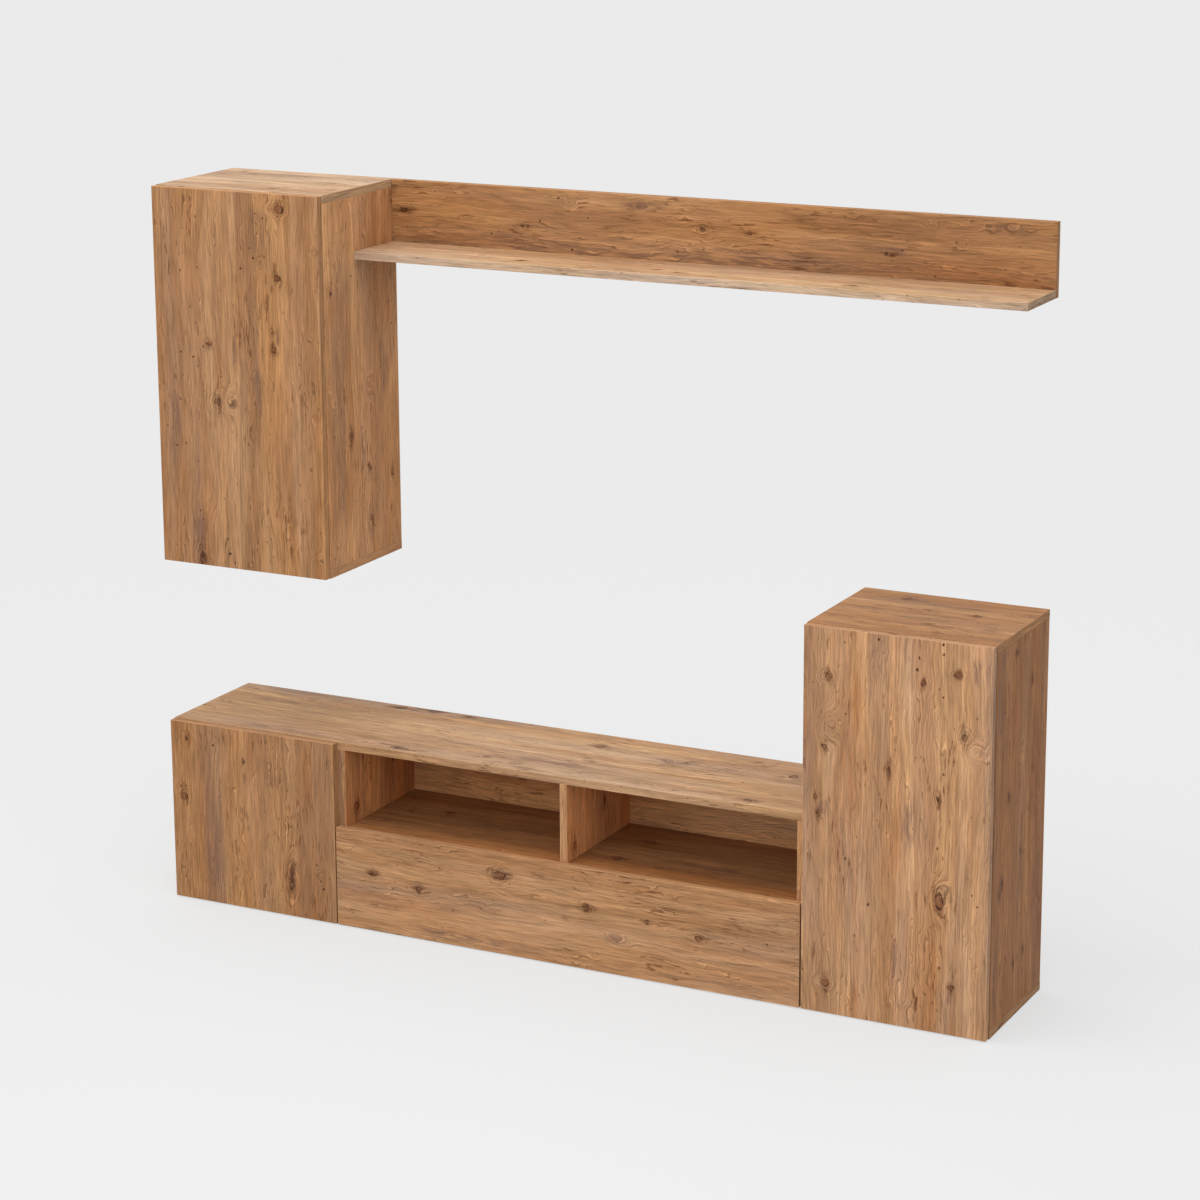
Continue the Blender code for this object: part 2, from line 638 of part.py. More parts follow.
def stay_bracket(axis, pivot):
    """Makes the angle on the flap, with the headed pin that carries the stay's arm."""
    lug_x = STAY_ARM_THICKNESS + STAY_PLAY
    foot_y = SEAT_GAP - STAY_PIVOT_DEPTH
    half = LUG_WIDTH / 2
    lug_line = arc((0, 0), half, -QUARTER_TURN, QUARTER_TURN, STAY_STEPS // 2)
    root = foot_y + LUG_THICKNESS / 2
    lug_line = [(root, -half)] + lug_line + [(root, half)]
    beside = Matrix.Translation((lug_x, 0, 0)) @ ONTO_YZ
    bracket = place("flap_stay_bracket", outline_mesh("lug", [lug_line], LUG_THICKNESS, beside),
                    axis, pivot)
    size = Vector((LUG_FOOT_LENGTH, LUG_THICKNESS, LUG_FOOT_HEIGHT))
    middle = Vector((lug_x, foot_y, -LUG_FOOT_HEIGHT / 2)) + size / 2
    foot = helper("stay_foot", box_mesh("stay_foot", size, middle), axis, pivot)
    lowest = -STAY_PLAY - STUD_HEAD_THICKNESS
    profile = (
        (0, lug_x + LUG_THICKNESS / 2), (STUD_RADIUS, lug_x + LUG_THICKNESS / 2),
        (STUD_RADIUS, -STAY_PLAY), (STUD_HEAD_RADIUS, -STAY_PLAY),
        (STUD_HEAD_RADIUS, lowest), (0, lowest),
    )
    pin = helper("stay_pin", turned_mesh("stay_pin", profile, STAY_STEPS, Z_TO_X), axis, pivot)
    combine(bracket, foot, "UNION")
    combine(bracket, pin, "UNION")
    dress(bracket, STEEL)


def tall_cabinet(meshes):
    """Makes the cabinet at the right end, hinged on its right."""
    corner = (UNIT_WIDTH / 2 - TALL_CABINET_WIDTH, CARCASS_FRONT_Y, 0)
    frame = make_empty("tall_cabinet", corner)
    width, height = TALL_CABINET_WIDTH, TALL_CABINET_HEIGHT
    shelf = box_carcass("tall_cabinet", frame, width, height)
    low = (FRONT_REVEAL, 0, FLOOR_REVEAL)
    high = (width - FRONT_REVEAL, 0, height - FRONT_REVEAL)
    swing_door("tall_cabinet", frame, low, high, False, meshes)
    latch("tall_cabinet", frame, BOARD + LATCH_FROM_SIDE, shelf)


HINGE_MESHES = (hinge_arm_mesh(), hinge_cup_mesh())
wall_cabinet(HINGE_MESHES)
wall_shelf()
bench(HINGE_MESHES)
tall_cabinet(HINGE_MESHES)
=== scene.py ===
"""Finishes the knotty pine television wall unit: its decor, steel and plastic, its small
fasteners, and the studio and camera that show it."""

import logging
import math
from collections.abc import Sequence
from dataclasses import dataclass
from enum import Enum

import bmesh
import bpy
from mathutils import Matrix, Vector


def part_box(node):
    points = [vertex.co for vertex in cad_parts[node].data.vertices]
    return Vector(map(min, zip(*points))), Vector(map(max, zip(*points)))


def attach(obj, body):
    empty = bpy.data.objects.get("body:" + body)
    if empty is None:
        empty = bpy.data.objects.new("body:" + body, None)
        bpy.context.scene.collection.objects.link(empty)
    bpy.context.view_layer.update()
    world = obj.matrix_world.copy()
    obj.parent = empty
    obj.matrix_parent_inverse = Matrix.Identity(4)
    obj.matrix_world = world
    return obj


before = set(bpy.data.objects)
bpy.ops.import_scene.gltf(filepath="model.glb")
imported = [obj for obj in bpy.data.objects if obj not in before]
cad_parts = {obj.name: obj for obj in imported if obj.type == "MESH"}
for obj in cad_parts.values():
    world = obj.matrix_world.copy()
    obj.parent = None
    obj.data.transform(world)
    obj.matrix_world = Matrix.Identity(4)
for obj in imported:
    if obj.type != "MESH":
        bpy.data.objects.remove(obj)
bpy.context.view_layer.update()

LOG = logging.getLogger("wall_unit")
MM = 0.001
AXES = "xyz"
BOARD = 0.016
MID_BOARD = BOARD / 2
FRONT_Y = -0.14925
AXIS_Y = -0.14625
SMOOTH_ANGLE = math.radians(35)

Spot = tuple[float, float, float]
Cast = tuple[float, float, float]
Mark = tuple[float, ...]
Tone = tuple[int, int, int]
Value = bpy.types.NodeSocket | float | Spot
Shape = bmesh.types.BMesh

UP: Spot = (0.0, 0.0, 1.0)
DOWN: Spot = (0.0, 0.0, -1.0)
RIGHT: Spot = (1.0, 0.0, 0.0)
LEFT: Spot = (-1.0, 0.0, 0.0)
BACK: Spot = (0.0, 1.0, 0.0)
FRONT: Spot = (0.0, -1.0, 0.0)
NOISE_MIDDLE: Spot = (0.5, 0.5, 0.5)


def linear(tone: Tone) -> tuple[float, float, float, float]:
    """Turns a paint tone into the linear colour that shaders take.

    Args:
        tone: red, green and blue from 0 to 255.

    Returns:
        The linear colour with an alpha of one.
    """
    shares = [part / 255 for part in tone]
    parts = [s / 12.92 if s <= 0.04045 else ((s + 0.055) / 1.055) ** 2.4 for s in shares]
    return (parts[0], parts[1], parts[2], 1.0)


@dataclass(frozen=True)
class Cloud:
    """Cloudy noise: its cells per metre along each axis, which draw it out where they are
    unequal, its finer layers and their strength, and how far it is shifted."""

    cells: Spot
    detail: float = 2.0
    roughness: float = 0.5
    shift: Spot | None = None


class Mix(Enum):
    """What a Mix node mixes: its type, the numbers of its two inputs and of its output."""

    COLOURS = ("RGBA", 6, 7, 2)
    PLACES = ("VECTOR", 4, 5, 1)


@dataclass(frozen=True)
class Ramp:
    """A smooth change from start to end, while a value goes from low to high."""

    low: float
    high: float
    start: float = 0.0
    end: float = 1.0


class FinishTree:
    """Places and joins the nodes of one finish."""

    def __init__(self, tree: bpy.types.NodeTree) -> None:
        """Starts with an empty tree.

        Args:
            tree: the node tree of a material, a world or a group.
        """
        self.tree = tree
        tree.nodes.clear()

    def node(self, kind: str, **settings: object) -> bpy.types.Node:
        """Adds a node.

        Args:
            kind: the node's type name.
            settings: values of the node's own fields.

        Returns:
            The new node.
        """
        made = self.tree.nodes.new(kind)
        for name, value in settings.items():
            setattr(made, name, value)
        return made

    def feed(self, socket: bpy.types.NodeSocket, value: Value) -> None:
        """Joins a socket to another one, or sets its number.

        Args:
            socket: the input to fill.
            value: an output socket, a number or a tuple of numbers.
        """
        if isinstance(value, bpy.types.NodeSocket):
            self.tree.links.new(value, socket)
        else:
            socket.default_value = value

    def calc(self, operation: str, *values: Value) -> bpy.types.NodeSocket:
        """Reckons with numbers.

        Args:
            operation: the Math node's operation.
            values: its inputs in order.

        Returns:
            The result's socket.
        """
        made = self.node("ShaderNodeMath", operation=operation)
        for socket, value in zip(made.inputs, values):
            self.feed(socket, value)
        return made.outputs[0]

    def reckon(self, operation: str, *values: Value) -> bpy.types.NodeSocket:
        """Reckons with vectors.

        Args:
            operation: the Vector Math node's operation.
            values: its inputs in order.

        Returns:
            The result's socket, a number for a length.
        """
        made = self.node("ShaderNodeVectorMath", operation=operation)
        for socket, value in zip(made.inputs, values):
            self.feed(socket, value)
        return made.outputs["Value" if operation == "LENGTH" else "Vector"]

    def ease(self, value: Value, ramp: Ramp) -> bpy.types.NodeSocket:
        """Carries a value smoothly from one range to another and holds it at the ends.

        Args:
            value: what is carried over.
            ramp: both ranges.

        Returns:
            The result's socket.
        """
        made = self.node("ShaderNodeMapRange", interpolation_type="SMOOTHSTEP")
        for socket, number in zip(made.inputs, (value, ramp.low, ramp.high, ramp.start, ramp.end)):
            self.feed(socket, number)
        return made.outputs[0]

    def clouds(self, place: Value, cloud: Cloud) -> bpy.types.NodeOutputs:
        """Makes cloudy noise.

        Args:
            place: where it is read.
            cloud: how it looks.

        Returns:
            The noise's value and colour.
        """
        made = self.node("ShaderNodeTexNoise")
        if cloud.shift:
            place = self.reckon("ADD", place, cloud.shift)
        self.feed(made.inputs["Vector"], self.reckon("MULTIPLY", place, cloud.cells))
        made.inputs["Scale"].default_value = 1.0
        made.inputs["Detail"].default_value = cloud.detail
        made.inputs["Roughness"].default_value = cloud.roughness
        return made.outputs

    def noise(self, place: Value, cloud: Cloud) -> bpy.types.NodeSocket:
        """Makes cloudy noise and gives its value."""
        return self.clouds(place, cloud)[0]

    def blend(
        self, share: Value, first: Value, second: Value, mix: Mix = Mix.COLOURS
    ) -> bpy.types.NodeSocket:
        """Mixes two colours or places.

        Args:
            share: how much of the second one shows.
            first: the result at a share of nothing.
            second: the result at a full share.
            mix: what is mixed.

        Returns:
            The result's socket.
        """
        kind, one, two, result = mix.value
        made = self.node("ShaderNodeMix", data_type=kind)
        for index, value in ((0, share), (one, first), (two, second)):
            self.feed(made.inputs[index], value)
        return made.outputs[result]

    def scaled(self, colour: Value, factor: Value) -> bpy.types.NodeSocket:
        """Lightens or darkens a colour.

        Args:
            colour: the colour.
            factor: what its parts are multiplied by.

        Returns:
            The new colour.
        """
        made = self.node("ShaderNodeVectorMath", operation="SCALE")
        self.feed(made.inputs[0], colour)
        self.feed(made.inputs["Scale"], factor)
        return made.outputs[0]

    def parts(self, vector: Value) -> list[bpy.types.NodeSocket]:
        """Splits a vector into its three numbers.

        Args:
            vector: the vector.

        Returns:
            Its x, y and z.
        """
        made = self.node("ShaderNodeSeparateXYZ")
        self.feed(made.inputs[0], vector)
        return list(made.outputs)

    def joined(self, x: Value, y: Value, z: Value = 0.0) -> bpy.types.NodeSocket:
        """Joins three numbers into a vector.

        Args:
            x: the first number.
            y: the second number.
            z: the third number.

        Returns:
            The vector.
        """
        made = self.node("ShaderNodeCombineXYZ")
        for socket, value in zip(made.inputs, (x, y, z)):
            self.feed(socket, value)
        return made.outputs[0]

    def surface(self, colour: Value, roughness: Value, height: Value, depth: float) -> bpy.types.Node:
        """Adds the shader, its relief and the output.

        Args:
            colour: the base colour.
            roughness: the surface's roughness.
            height: the relief, from 0 to 1.
            depth: how deep the relief is, in metres.

        Returns:
            The shader's node.
        """
        shader = self.node("ShaderNodeBsdfPrincipled")
        bump = self.node("ShaderNodeBump")
        bump.inputs["Distance"].default_value = depth
        self.feed(bump.inputs["Height"], height)
        self.feed(shader.inputs["Base Color"], colour)
        self.feed(shader.inputs["Roughness"], roughness)
        self.feed(shader.inputs["Normal"], bump.outputs["Normal"])
        output = self.node("ShaderNodeOutputMaterial")
        self.feed(output.inputs["Surface"], shader.outputs[0])
        return shader


def new_material(name: str) -> tuple[bpy.types.Material, FinishTree]:
    """Makes a material with an empty tree.

    Args:
        name: the material's name.

    Returns:
        The material and its tree.
    """
    material = bpy.data.materials.new(name)
    material.use_nodes = True
    return material, FinishTree(material.node_tree)


def wear(obj: bpy.types.Object, material: bpy.types.Material) -> None:
    """Puts a material on an object's own slot.

    Args:
        obj: the object.
        material: its finish.
    """
    if not obj.material_slots:
        obj.data.materials.append(material)
    for slot in obj.material_slots:
        slot.link = "OBJECT"
        slot.material = material


class KnotForm(Enum):
    """What the decor shows where a branch stood."""

    SOLID = "Solid"
    RING = "Ring"
    SWIRL = "Swirl"
    PIN = "Pin"


class Stain(Enum):
    """How a soft patch differs from the wood round it: smoke and pale patches are mostly the decor's own
    stains, and on some boards they paint shade and light.
    """

    SMOKE = "Smoke"
    AMBER = "Amber"
    PALE_AND_LIGHT = "Pale"


@dataclass(frozen=True)
class Knot:
    """A knot of the decor, in millimetres on its board."""

    form: KnotForm
    across: float
    along: float
    radius: float
    stretch: float = 1.1


@dataclass(frozen=True)
class Patch:
    """A soft patch, in millimetres on its board: a stain of the decor, and on some boards painted light or
    shade.
    """

    stain: Stain
    across: float
    along: float
    width: float
    length: float


# Whole-board tints. The sheen casts paint tops paler and greyer, a painted sheen where light glances off
# them; the warm shade cast paints the warm shade inside the bays and on the tall cabinet's right side; the
# ruddy cast tints the painted shade of the backboard and the tall top.
SHEEN_PALE_CAST: Cast = (0.88, 1.0, 1.13)
SHEEN_PALEST_CAST: Cast = (0.82, 1.0, 1.25)
WARM_SHADE_CAST: Cast = (1.17, 1.0, 0.83)
RUDDY_CAST: Cast = (1.05, 1.0, 0.90)
MILD_CAST: Cast = (1.02, 1.0, 0.96)
COOL_CAST: Cast = (0.96, 1.0, 1.08)
# Front edge tints, painted for how each front edge is lit: the shaded edge keeps the lit front edges of the
# bays' boards from their painted bay light and shade, the dull edge takes the painted sheen off the bench
# top's front edge, and the bright edge paints a highlight on the shelf's front edge.
SHADED_EDGE: Cast = (0.56, 0.68, 0.90)
DULL_EDGE: Cast = (0.96, 0.91, 0.86)
BRIGHT_EDGE: Cast = (1.10, 1.19, 1.30)


@dataclass(frozen=True)
class Board:
    """A faced board: which way its decor lies, and the marks that can be picked out on it.

    Across and along name the axes that the marks are counted on, and corner is where both
    counts start. Light and cast lighten and tint the board's sheet of decor: partly its own
    tone, and partly painted light and shade, each face set lighter, darker or warmer for how
    it is lit, so that tops, sides and bay insides are lit and shaded copies of one decor.
    Edge gives the band along its front edge a tint of its own, painted for how that edge is
    lit. Each knot is given across, along, radius and stretch, each pin knot across and
    along, and each soft patch across, along, width and length.
    """

    node: str
    across: str
    along: str
    corner: tuple[float, float]
    seed: float
    light: float = 1.0
    cast: Cast = (1.0, 1.0, 1.0)
    edge: Cast | None = None
    raw_back: bool = False
    rings: tuple[Mark, ...] = ()
    solids: tuple[Mark, ...] = ()
    swirls: tuple[Mark, ...] = ()
    pins: tuple[Mark, ...] = ()
    # Smoke and pale patches are mostly the decor's own stains; on some boards they paint shade and light.
    smoke_and_shade: tuple[Mark, ...] = ()
    amber: tuple[Mark, ...] = ()
    pale: tuple[Mark, ...] = ()

    def knots(self) -> list[Knot]:
        """Lists the knots of every form but the pins."""
        forms = (KnotForm.RING, self.rings), (KnotForm.SOLID, self.solids), (KnotForm.SWIRL, self.swirls)
        return [Knot(form, *mark) for form, marks in forms for mark in marks]

    def patches(self) -> list[Patch]:
        """Lists the soft patches of every stain."""
        stains = (Stain.SMOKE, self.smoke_and_shade), (Stain.AMBER, self.amber), (Stain.PALE_AND_LIGHT, self.pale)
        return [Patch(stain, *mark) for stain, marks in stains for mark in marks]


@dataclass(frozen=True)
class PineFigure:
    """The decor's printed figure: glued strips with streaks, curls, strokes, knots and flecks, with each curl
    drawn as the painted highlight and shadow of an embossed ridge, and a painted highlight along each edge.

    A cloud says how a noise looks, and the ramp beside it how that noise is turned into a
    share, a strength or a lightness.
    """

    group_name: str = "pine figure"
    wood: Tone = (168, 120, 80)
    light_wood: Tone = (190, 144, 102)
    grey_wood: Tone = (140, 103, 79)
    amber_wood: Tone = (158, 107, 68)
    stroke_brown: Tone = (100, 58, 33)
    knot_brown: Tone = (70, 41, 27)
    knot_amber: Tone = (126, 80, 50)
    roughness: float = 0.55
    roughness_span: float = 0.06
    # Painted highlight: light wood within about a millimetre of each edge.
    arris: Ramp = Ramp(0.0004, 0.0016, 0.35, 0.0)
    strip_width: float = 0.046
    strip_change: float = 0.35
    strip_light: tuple[float, float] = (0.12, 0.94)
    wander: Cloud = Cloud((3, 1.1, 1), 1.0)
    bands: Cloud = Cloud((26, 1.4, 0.9), 2.0, 0.6)
    band_share: Ramp = Ramp(0.26, 0.74)
    streaks: Cloud = Cloud((160, 3.6, 1.0), 4.0, 0.72)
    streak_range: tuple[float, float] = (0.3, 0.7)
    streak_shade: Ramp = Ramp(0.3, 0.7, -0.17, 0.12)
    torn: Ramp = Ramp(0.38, 0.62, 0.45, 1.25)
    rags: Cloud = Cloud((150, 17, 1.0), 3.0, 0.65)
    ragged: Ramp = Ramp(0.4, 0.6, 0.1, 1.5)
    grey_drift: Cloud = Cloud((17, 1.8, 1.1), 3.0, 0.65, (3.7, 9.1, 0.0))
    wide_grey: Ramp = Ramp(0.48, 0.72, 0.0, 0.5)
    strip_grey: Ramp = Ramp(0.5, 1.0, 0.0, 0.45)
    amber_drift: Cloud = Cloud((27, 1.5, 1.1), 3.0, 0.65, (8.3, 2.6, 0.0))
    wide_amber: Ramp = Ramp(0.5, 0.72, 0.0, 0.5)
    strip_amber: Ramp = Ramp(0.6, 1.0, 0.0, 0.45)
    trail_share: Ramp = Ramp(0.3, 1.2, 0.5, 0.0)
    liveliness: Cloud = Cloud((13, 3.5, 1.5))
    lively: Ramp = Ramp(0.36, 0.62, 0.55, 1.3)
    mottling: Cloud = Cloud((60, 9, 1.4), 2.0, 0.6)
    mottle_light: Ramp = Ramp(0.3, 0.7, 0.93, 1.07)
    hue_drift: Cloud = Cloud((15, 1.6, 1.2), shift=(5.2, 1.3, 0.0))
    hue_share: Ramp = Ramp(0.34, 0.66)
    red_drift: tuple[float, float] = (-0.06, 1.02)
    blue_drift: tuple[float, float] = (0.17, 0.925)
    fibres: Cloud = Cloud((430, 15, 1.0), 2.0, 0.7)
    fibre_light: Ramp = Ramp(0.32, 0.70, 1.17, 0.76)
    ripple: float = 0.0095
    curling: float = 29.0
    curls: Cloud = Cloud((36, 12, 1.3), 2.0, 0.55)
    # Painted highlight on each curl's crest and painted shadow in its furrow.
    crest_highlight: Ramp = Ramp(0.72, 1.0, 0.0, 0.27)
    furrow_shadow: Ramp = Ramp(0.66, 1.0, 0.0, 0.36)
    furrow_lag: float = 0.95
    curl_places: Cloud = Cloud((15, 6, 1.7))
    curl_patches: Ramp = Ramp(0.46, 0.62, 0.18, 1.0)
    curl_breaks: Cloud = Cloud((70, 24, 1.1), 1.0)
    curl_gaps: Ramp = Ramp(0.34, 0.50)
    curls_round_knots: Ramp = Ramp(1.3, 4.2, 1.0, 0.0)
    curls_in_swirls: Ramp = Ramp(0.5, 1.3, 1.0, 0.0)
    strokes: Cloud = Cloud((210, 26, 1.0), 2.0, 0.6, (1.9, 6.2, 0.0))
    stroke_share: Ramp = Ramp(0.56, 0.66, 0.0, 0.75)
    stroke_places: Cloud = Cloud((16, 7, 1.2))
    stroke_patches: Ramp = Ramp(0.50, 0.64, 0.05, 1.0)
    strokes_round_knots: Ramp = Ramp(1.2, 3.4, 0.8, 0.0)
    halo_waves: float = 8.0
    halo_light: Ramp = Ramp(0.4, 1.0, 0.0, 0.26)
    halo_dark: Ramp = Ramp(-1.0, -0.4, 0.34, 0.0)
    halo_outside: Ramp = Ramp(1.3, 3.2, 1.0, 0.0)
    halo_inside: Ramp = Ramp(0.95, 1.3)
    knot_breaks: Cloud = Cloud((88, 74, 1), 3.0, 0.65)
    halo_gaps: Ramp = Ramp(0.42, 0.58, 0.1, 1.0)
    ring_amber: Ramp = Ramp(0.6, 1.2, 0.75, 0.0)
    rim_line: float = 0.80
    rim_share: Ramp = Ramp(0.05, 0.26, 1.0, 0.0)
    rim_gaps: Ramp = Ramp(0.42, 0.54, 0.2, 1.0)
    inner_line: float = 0.40
    inner_share: Ramp = Ramp(0.04, 0.2, 0.75, 0.0)
    inner_gaps: Ramp = Ramp(0.46, 0.58, 0.0, 1.0)
    knot_grain: Cloud = Cloud((230, 120, 1))
    filled_share: Ramp = Ramp(0.45, 1.1, 0.9, 0.0)
    filled_gaps: Ramp = Ramp(0.38, 0.62, 0.45, 1.0)
    pin_tones: Cloud = Cloud((21, 18, 1), 1.0)
    pin_strength: Ramp = Ramp(0.38, 0.6, 0.5, 1.0)
    pin_share: Ramp = Ramp(0.6, 1.2, 0.95, 0.0)
    knot_gloss: float = 0.08
    knot_depth: float = 0.5
    fleck_cells: Spot = (26, 17, 1)
    fleck_share: float = 0.2
    fleck_edge: Ramp = Ramp(0.02, 0.05, 1.0, 0.0)
    fleck_strength: float = 0.6

    def group(self) -> bpy.types.NodeTree:
        """Makes the shared group that turns a place on a board into colour and relief.

        Returns:
            The node group.
        """
        if self.group_name in bpy.data.node_groups:
            return bpy.data.node_groups[self.group_name]
        group = bpy.data.node_groups.new(self.group_name, "ShaderNodeTree")
        for name in ("Place", "Grain"):
            group.interface.new_socket(name, in_out="INPUT", socket_type="NodeSocketVector")
        for name in [f.value for f in KnotForm] + [s.value for s in Stain] + ["Trail", "Arris"]:
            group.interface.new_socket(name, in_out="INPUT", socket_type="NodeSocketFloat")
        group.interface.new_socket("Colour", in_out="OUTPUT", socket_type="NodeSocketColor")
        for name in ("Roughness", "Height"):
            group.interface.new_socket(name, in_out="OUTPUT", socket_type="NodeSocketFloat")
        tree = FinishTree(group)
        given = tree.node("NodeGroupInput").outputs
        grain, strip = self.strips(tree, given["Place"], given["Grain"])
        colour, streak = self.wood_colour(tree, grain, strip, given)
        colour, dark = self.knot_colour(tree, colour, given)
        fleck = self.flecks(tree, given["Place"])
        fleck = tree.calc("MULTIPLY", fleck, self.fleck_strength)
        colour = tree.blend(fleck, colour, linear(self.knot_brown))
        # Painted highlight along each edge, where a broken arris would catch the light.
        edge = tree.ease(given["Arris"], self.arris)
        colour = tree.blend(edge, colour, linear(self.light_wood))
        rougher, smoother = self.roughness + self.roughness_span, self.roughness - self.roughness_span
        rough = tree.ease(streak, Ramp(*self.streak_range, rougher, smoother))
        out = tree.node("NodeGroupOutput").inputs
        tree.feed(out["Colour"], colour)
        gloss = tree.calc("MULTIPLY", dark, self.knot_gloss)
        tree.feed(out["Roughness"], tree.calc("SUBTRACT", rough, gloss))
        hollow = tree.calc("MULTIPLY", dark, self.knot_depth)
        tree.feed(out["Height"], tree.calc("SUBTRACT", streak, hollow))
        return group

    def strips(
        self, tree: FinishTree, place: Value, grain: Value
    ) -> tuple[bpy.types.NodeSocket, list[bpy.types.NodeSocket]]:
        """Gives each glued strip a grain and a tone of its own.

        Args:
            tree: the group's tree.
            place: the plain place on the board.
            grain: the place bent round the knots.

        Returns:
            The bent place with the strip's own number added to its depth, and three numbers
            from 0 to 1 that belong to the strip.
        """
        across, _, depth = tree.parts(place)
        wander = tree.noise(place, self.wander)
        row = tree.calc("MULTIPLY_ADD", across, 1 / self.strip_width, wander)
        row = tree.calc("FLOOR", tree.calc("ADD", row, depth))
        each = tree.node("ShaderNodeTexWhiteNoise", noise_dimensions="1D")
        tree.feed(each.inputs["W"], row)
        change = tree.calc("MULTIPLY", each.outputs["Value"], self.strip_change)
        own_grain = tree.reckon("ADD", grain, tree.joined(0.0, 0.0, change))
        return own_grain, tree.parts(each.outputs["Color"])

    def wood_colour(
        self, tree: FinishTree, grain: Value, strip: list[bpy.types.NodeSocket], given: bpy.types.NodeOutputs
    ) -> tuple[bpy.types.NodeSocket, bpy.types.NodeSocket]:
        """Lays the strips' tones, streaks, ripples and fibres over each other.

        Args:
            tree: the group's tree.
            grain: the place along the strips' own grain.
            strip: three numbers that belong to the strip.
            given: the group's inputs.

        Returns:
            The colour, and the streaks' value for the relief.
        """
        band = tree.noise(grain, self.bands)
        colour = tree.blend(tree.ease(band, self.band_share), linear(self.wood), linear(self.light_wood))
        streak = tree.noise(grain, self.streaks)
        torn = tree.ease(streak, self.torn)
        ragged = tree.ease(tree.noise(grain, self.rags), self.ragged)
        wide = tree.noise(grain, self.grey_drift)
        own_grey = tree.ease(strip[0], self.strip_grey)
        grey = tree.calc("ADD", tree.ease(wide, self.wide_grey), own_grey)
        grey = tree.calc("MULTIPLY", grey, torn)
        # Smoke patches grey the wood: the decor's own smoky stains, and on some boards painted shade.
        grey = tree.calc("MULTIPLY_ADD", given["Smoke"], ragged, grey)
        warm = tree.noise(grain, self.amber_drift)
        own_amber = tree.ease(strip[1], self.strip_amber)
        amber = tree.calc("ADD", tree.ease(warm, self.wide_amber), own_amber)
        amber = tree.calc("MULTIPLY", tree.calc("ADD", amber, given["Amber"]), torn)
        colour = tree.blend(grey, colour, linear(self.grey_wood))
        colour = tree.blend(amber, colour, linear(self.amber_wood))
        # Pale patches lighten the wood: the decor's own paler wood, and on some boards painted light.
        colour = tree.blend(given["Pale"], colour, linear(self.light_wood))
        trail = tree.calc("MULTIPLY", tree.ease(given["Trail"], self.trail_share), ragged)
        colour = tree.blend(trail, colour, linear(self.stroke_brown))
        colour = tree.scaled(colour, tree.calc("MULTIPLY_ADD", strip[2], *self.strip_light))
        lively = tree.ease(tree.noise(grain, self.liveliness), self.lively)
        shade = tree.calc("MULTIPLY", tree.ease(streak, self.streak_shade), lively)
        colour = tree.scaled(colour, tree.calc("ADD", shade, 1.0))
        mottle = tree.noise(grain, self.mottling)
        colour = tree.scaled(colour, tree.ease(mottle, self.mottle_light))
        drift = tree.ease(tree.noise(grain, self.hue_drift), self.hue_share)
        red = tree.calc("MULTIPLY_ADD", drift, *self.red_drift)
        blue = tree.calc("MULTIPLY_ADD", drift, *self.blue_drift)
        colour = tree.reckon("MULTIPLY", colour, tree.joined(red, 1.0, blue))
        fibre = tree.noise(grain, self.fibres)
        colour = tree.scaled(colour, tree.ease(fibre, self.fibre_light))
        return self.rippled(tree, colour, grain, given), streak

    def rippled(
        self, tree: FinishTree, colour: Value, grain: Value, given: bpy.types.NodeOutputs
    ) -> bpy.types.NodeSocket:
        """Draws the embossed curls, which crowd round knots and swirls, and short dark strokes.

        Each curl is a thin light line with a dark one close beside it, the painted highlight and shadow of an
        embossed ridge.

        Args:
            tree: the group's tree.
            colour: the wood's colour.
            grain: the place along the strips' own grain.
            given: the group's inputs.

        Returns:
            The new colour.
        """
        curl = tree.noise(grain, self.curls)
        across = tree.parts(grain)[0]
        curl = tree.calc("MULTIPLY", curl, self.curling)
        turns = tree.calc("MULTIPLY_ADD", across, math.tau / self.ripple, curl)
        near = tree.calc("MINIMUM", given["Ring"], given["Solid"])
        round_knots = tree.ease(near, self.curls_round_knots)
        round_knots = tree.calc("MAXIMUM", round_knots, tree.ease(given["Swirl"], self.curls_in_swirls))
        patchy = tree.ease(tree.noise(grain, self.curl_places), self.curl_patches)
        patchy = tree.calc("MAXIMUM", patchy, round_knots)
        broken = tree.ease(tree.noise(grain, self.curl_breaks), self.curl_gaps)
        patchy = tree.calc("MULTIPLY", patchy, broken)
        # Painted highlight on the crest and painted shadow in the furrow of each embossed curl.
        crest_highlight = tree.ease(tree.calc("SINE", turns), self.crest_highlight)
        furrow_shadow = tree.ease(tree.calc("SINE", tree.calc("ADD", turns, self.furrow_lag)), self.furrow_shadow)
        rise = tree.calc("MULTIPLY", tree.calc("SUBTRACT", crest_highlight, furrow_shadow), patchy)
        colour = tree.scaled(colour, tree.calc("ADD", rise, 1.0))
        nick = tree.noise(grain, self.strokes)
        where = tree.ease(tree.noise(grain, self.stroke_places), self.stroke_patches)
        where = tree.calc("MAXIMUM", where, tree.ease(near, self.strokes_round_knots))
        stroke = tree.calc("MULTIPLY", tree.ease(nick, self.stroke_share), where)
        return tree.blend(stroke, colour, linear(self.stroke_brown))

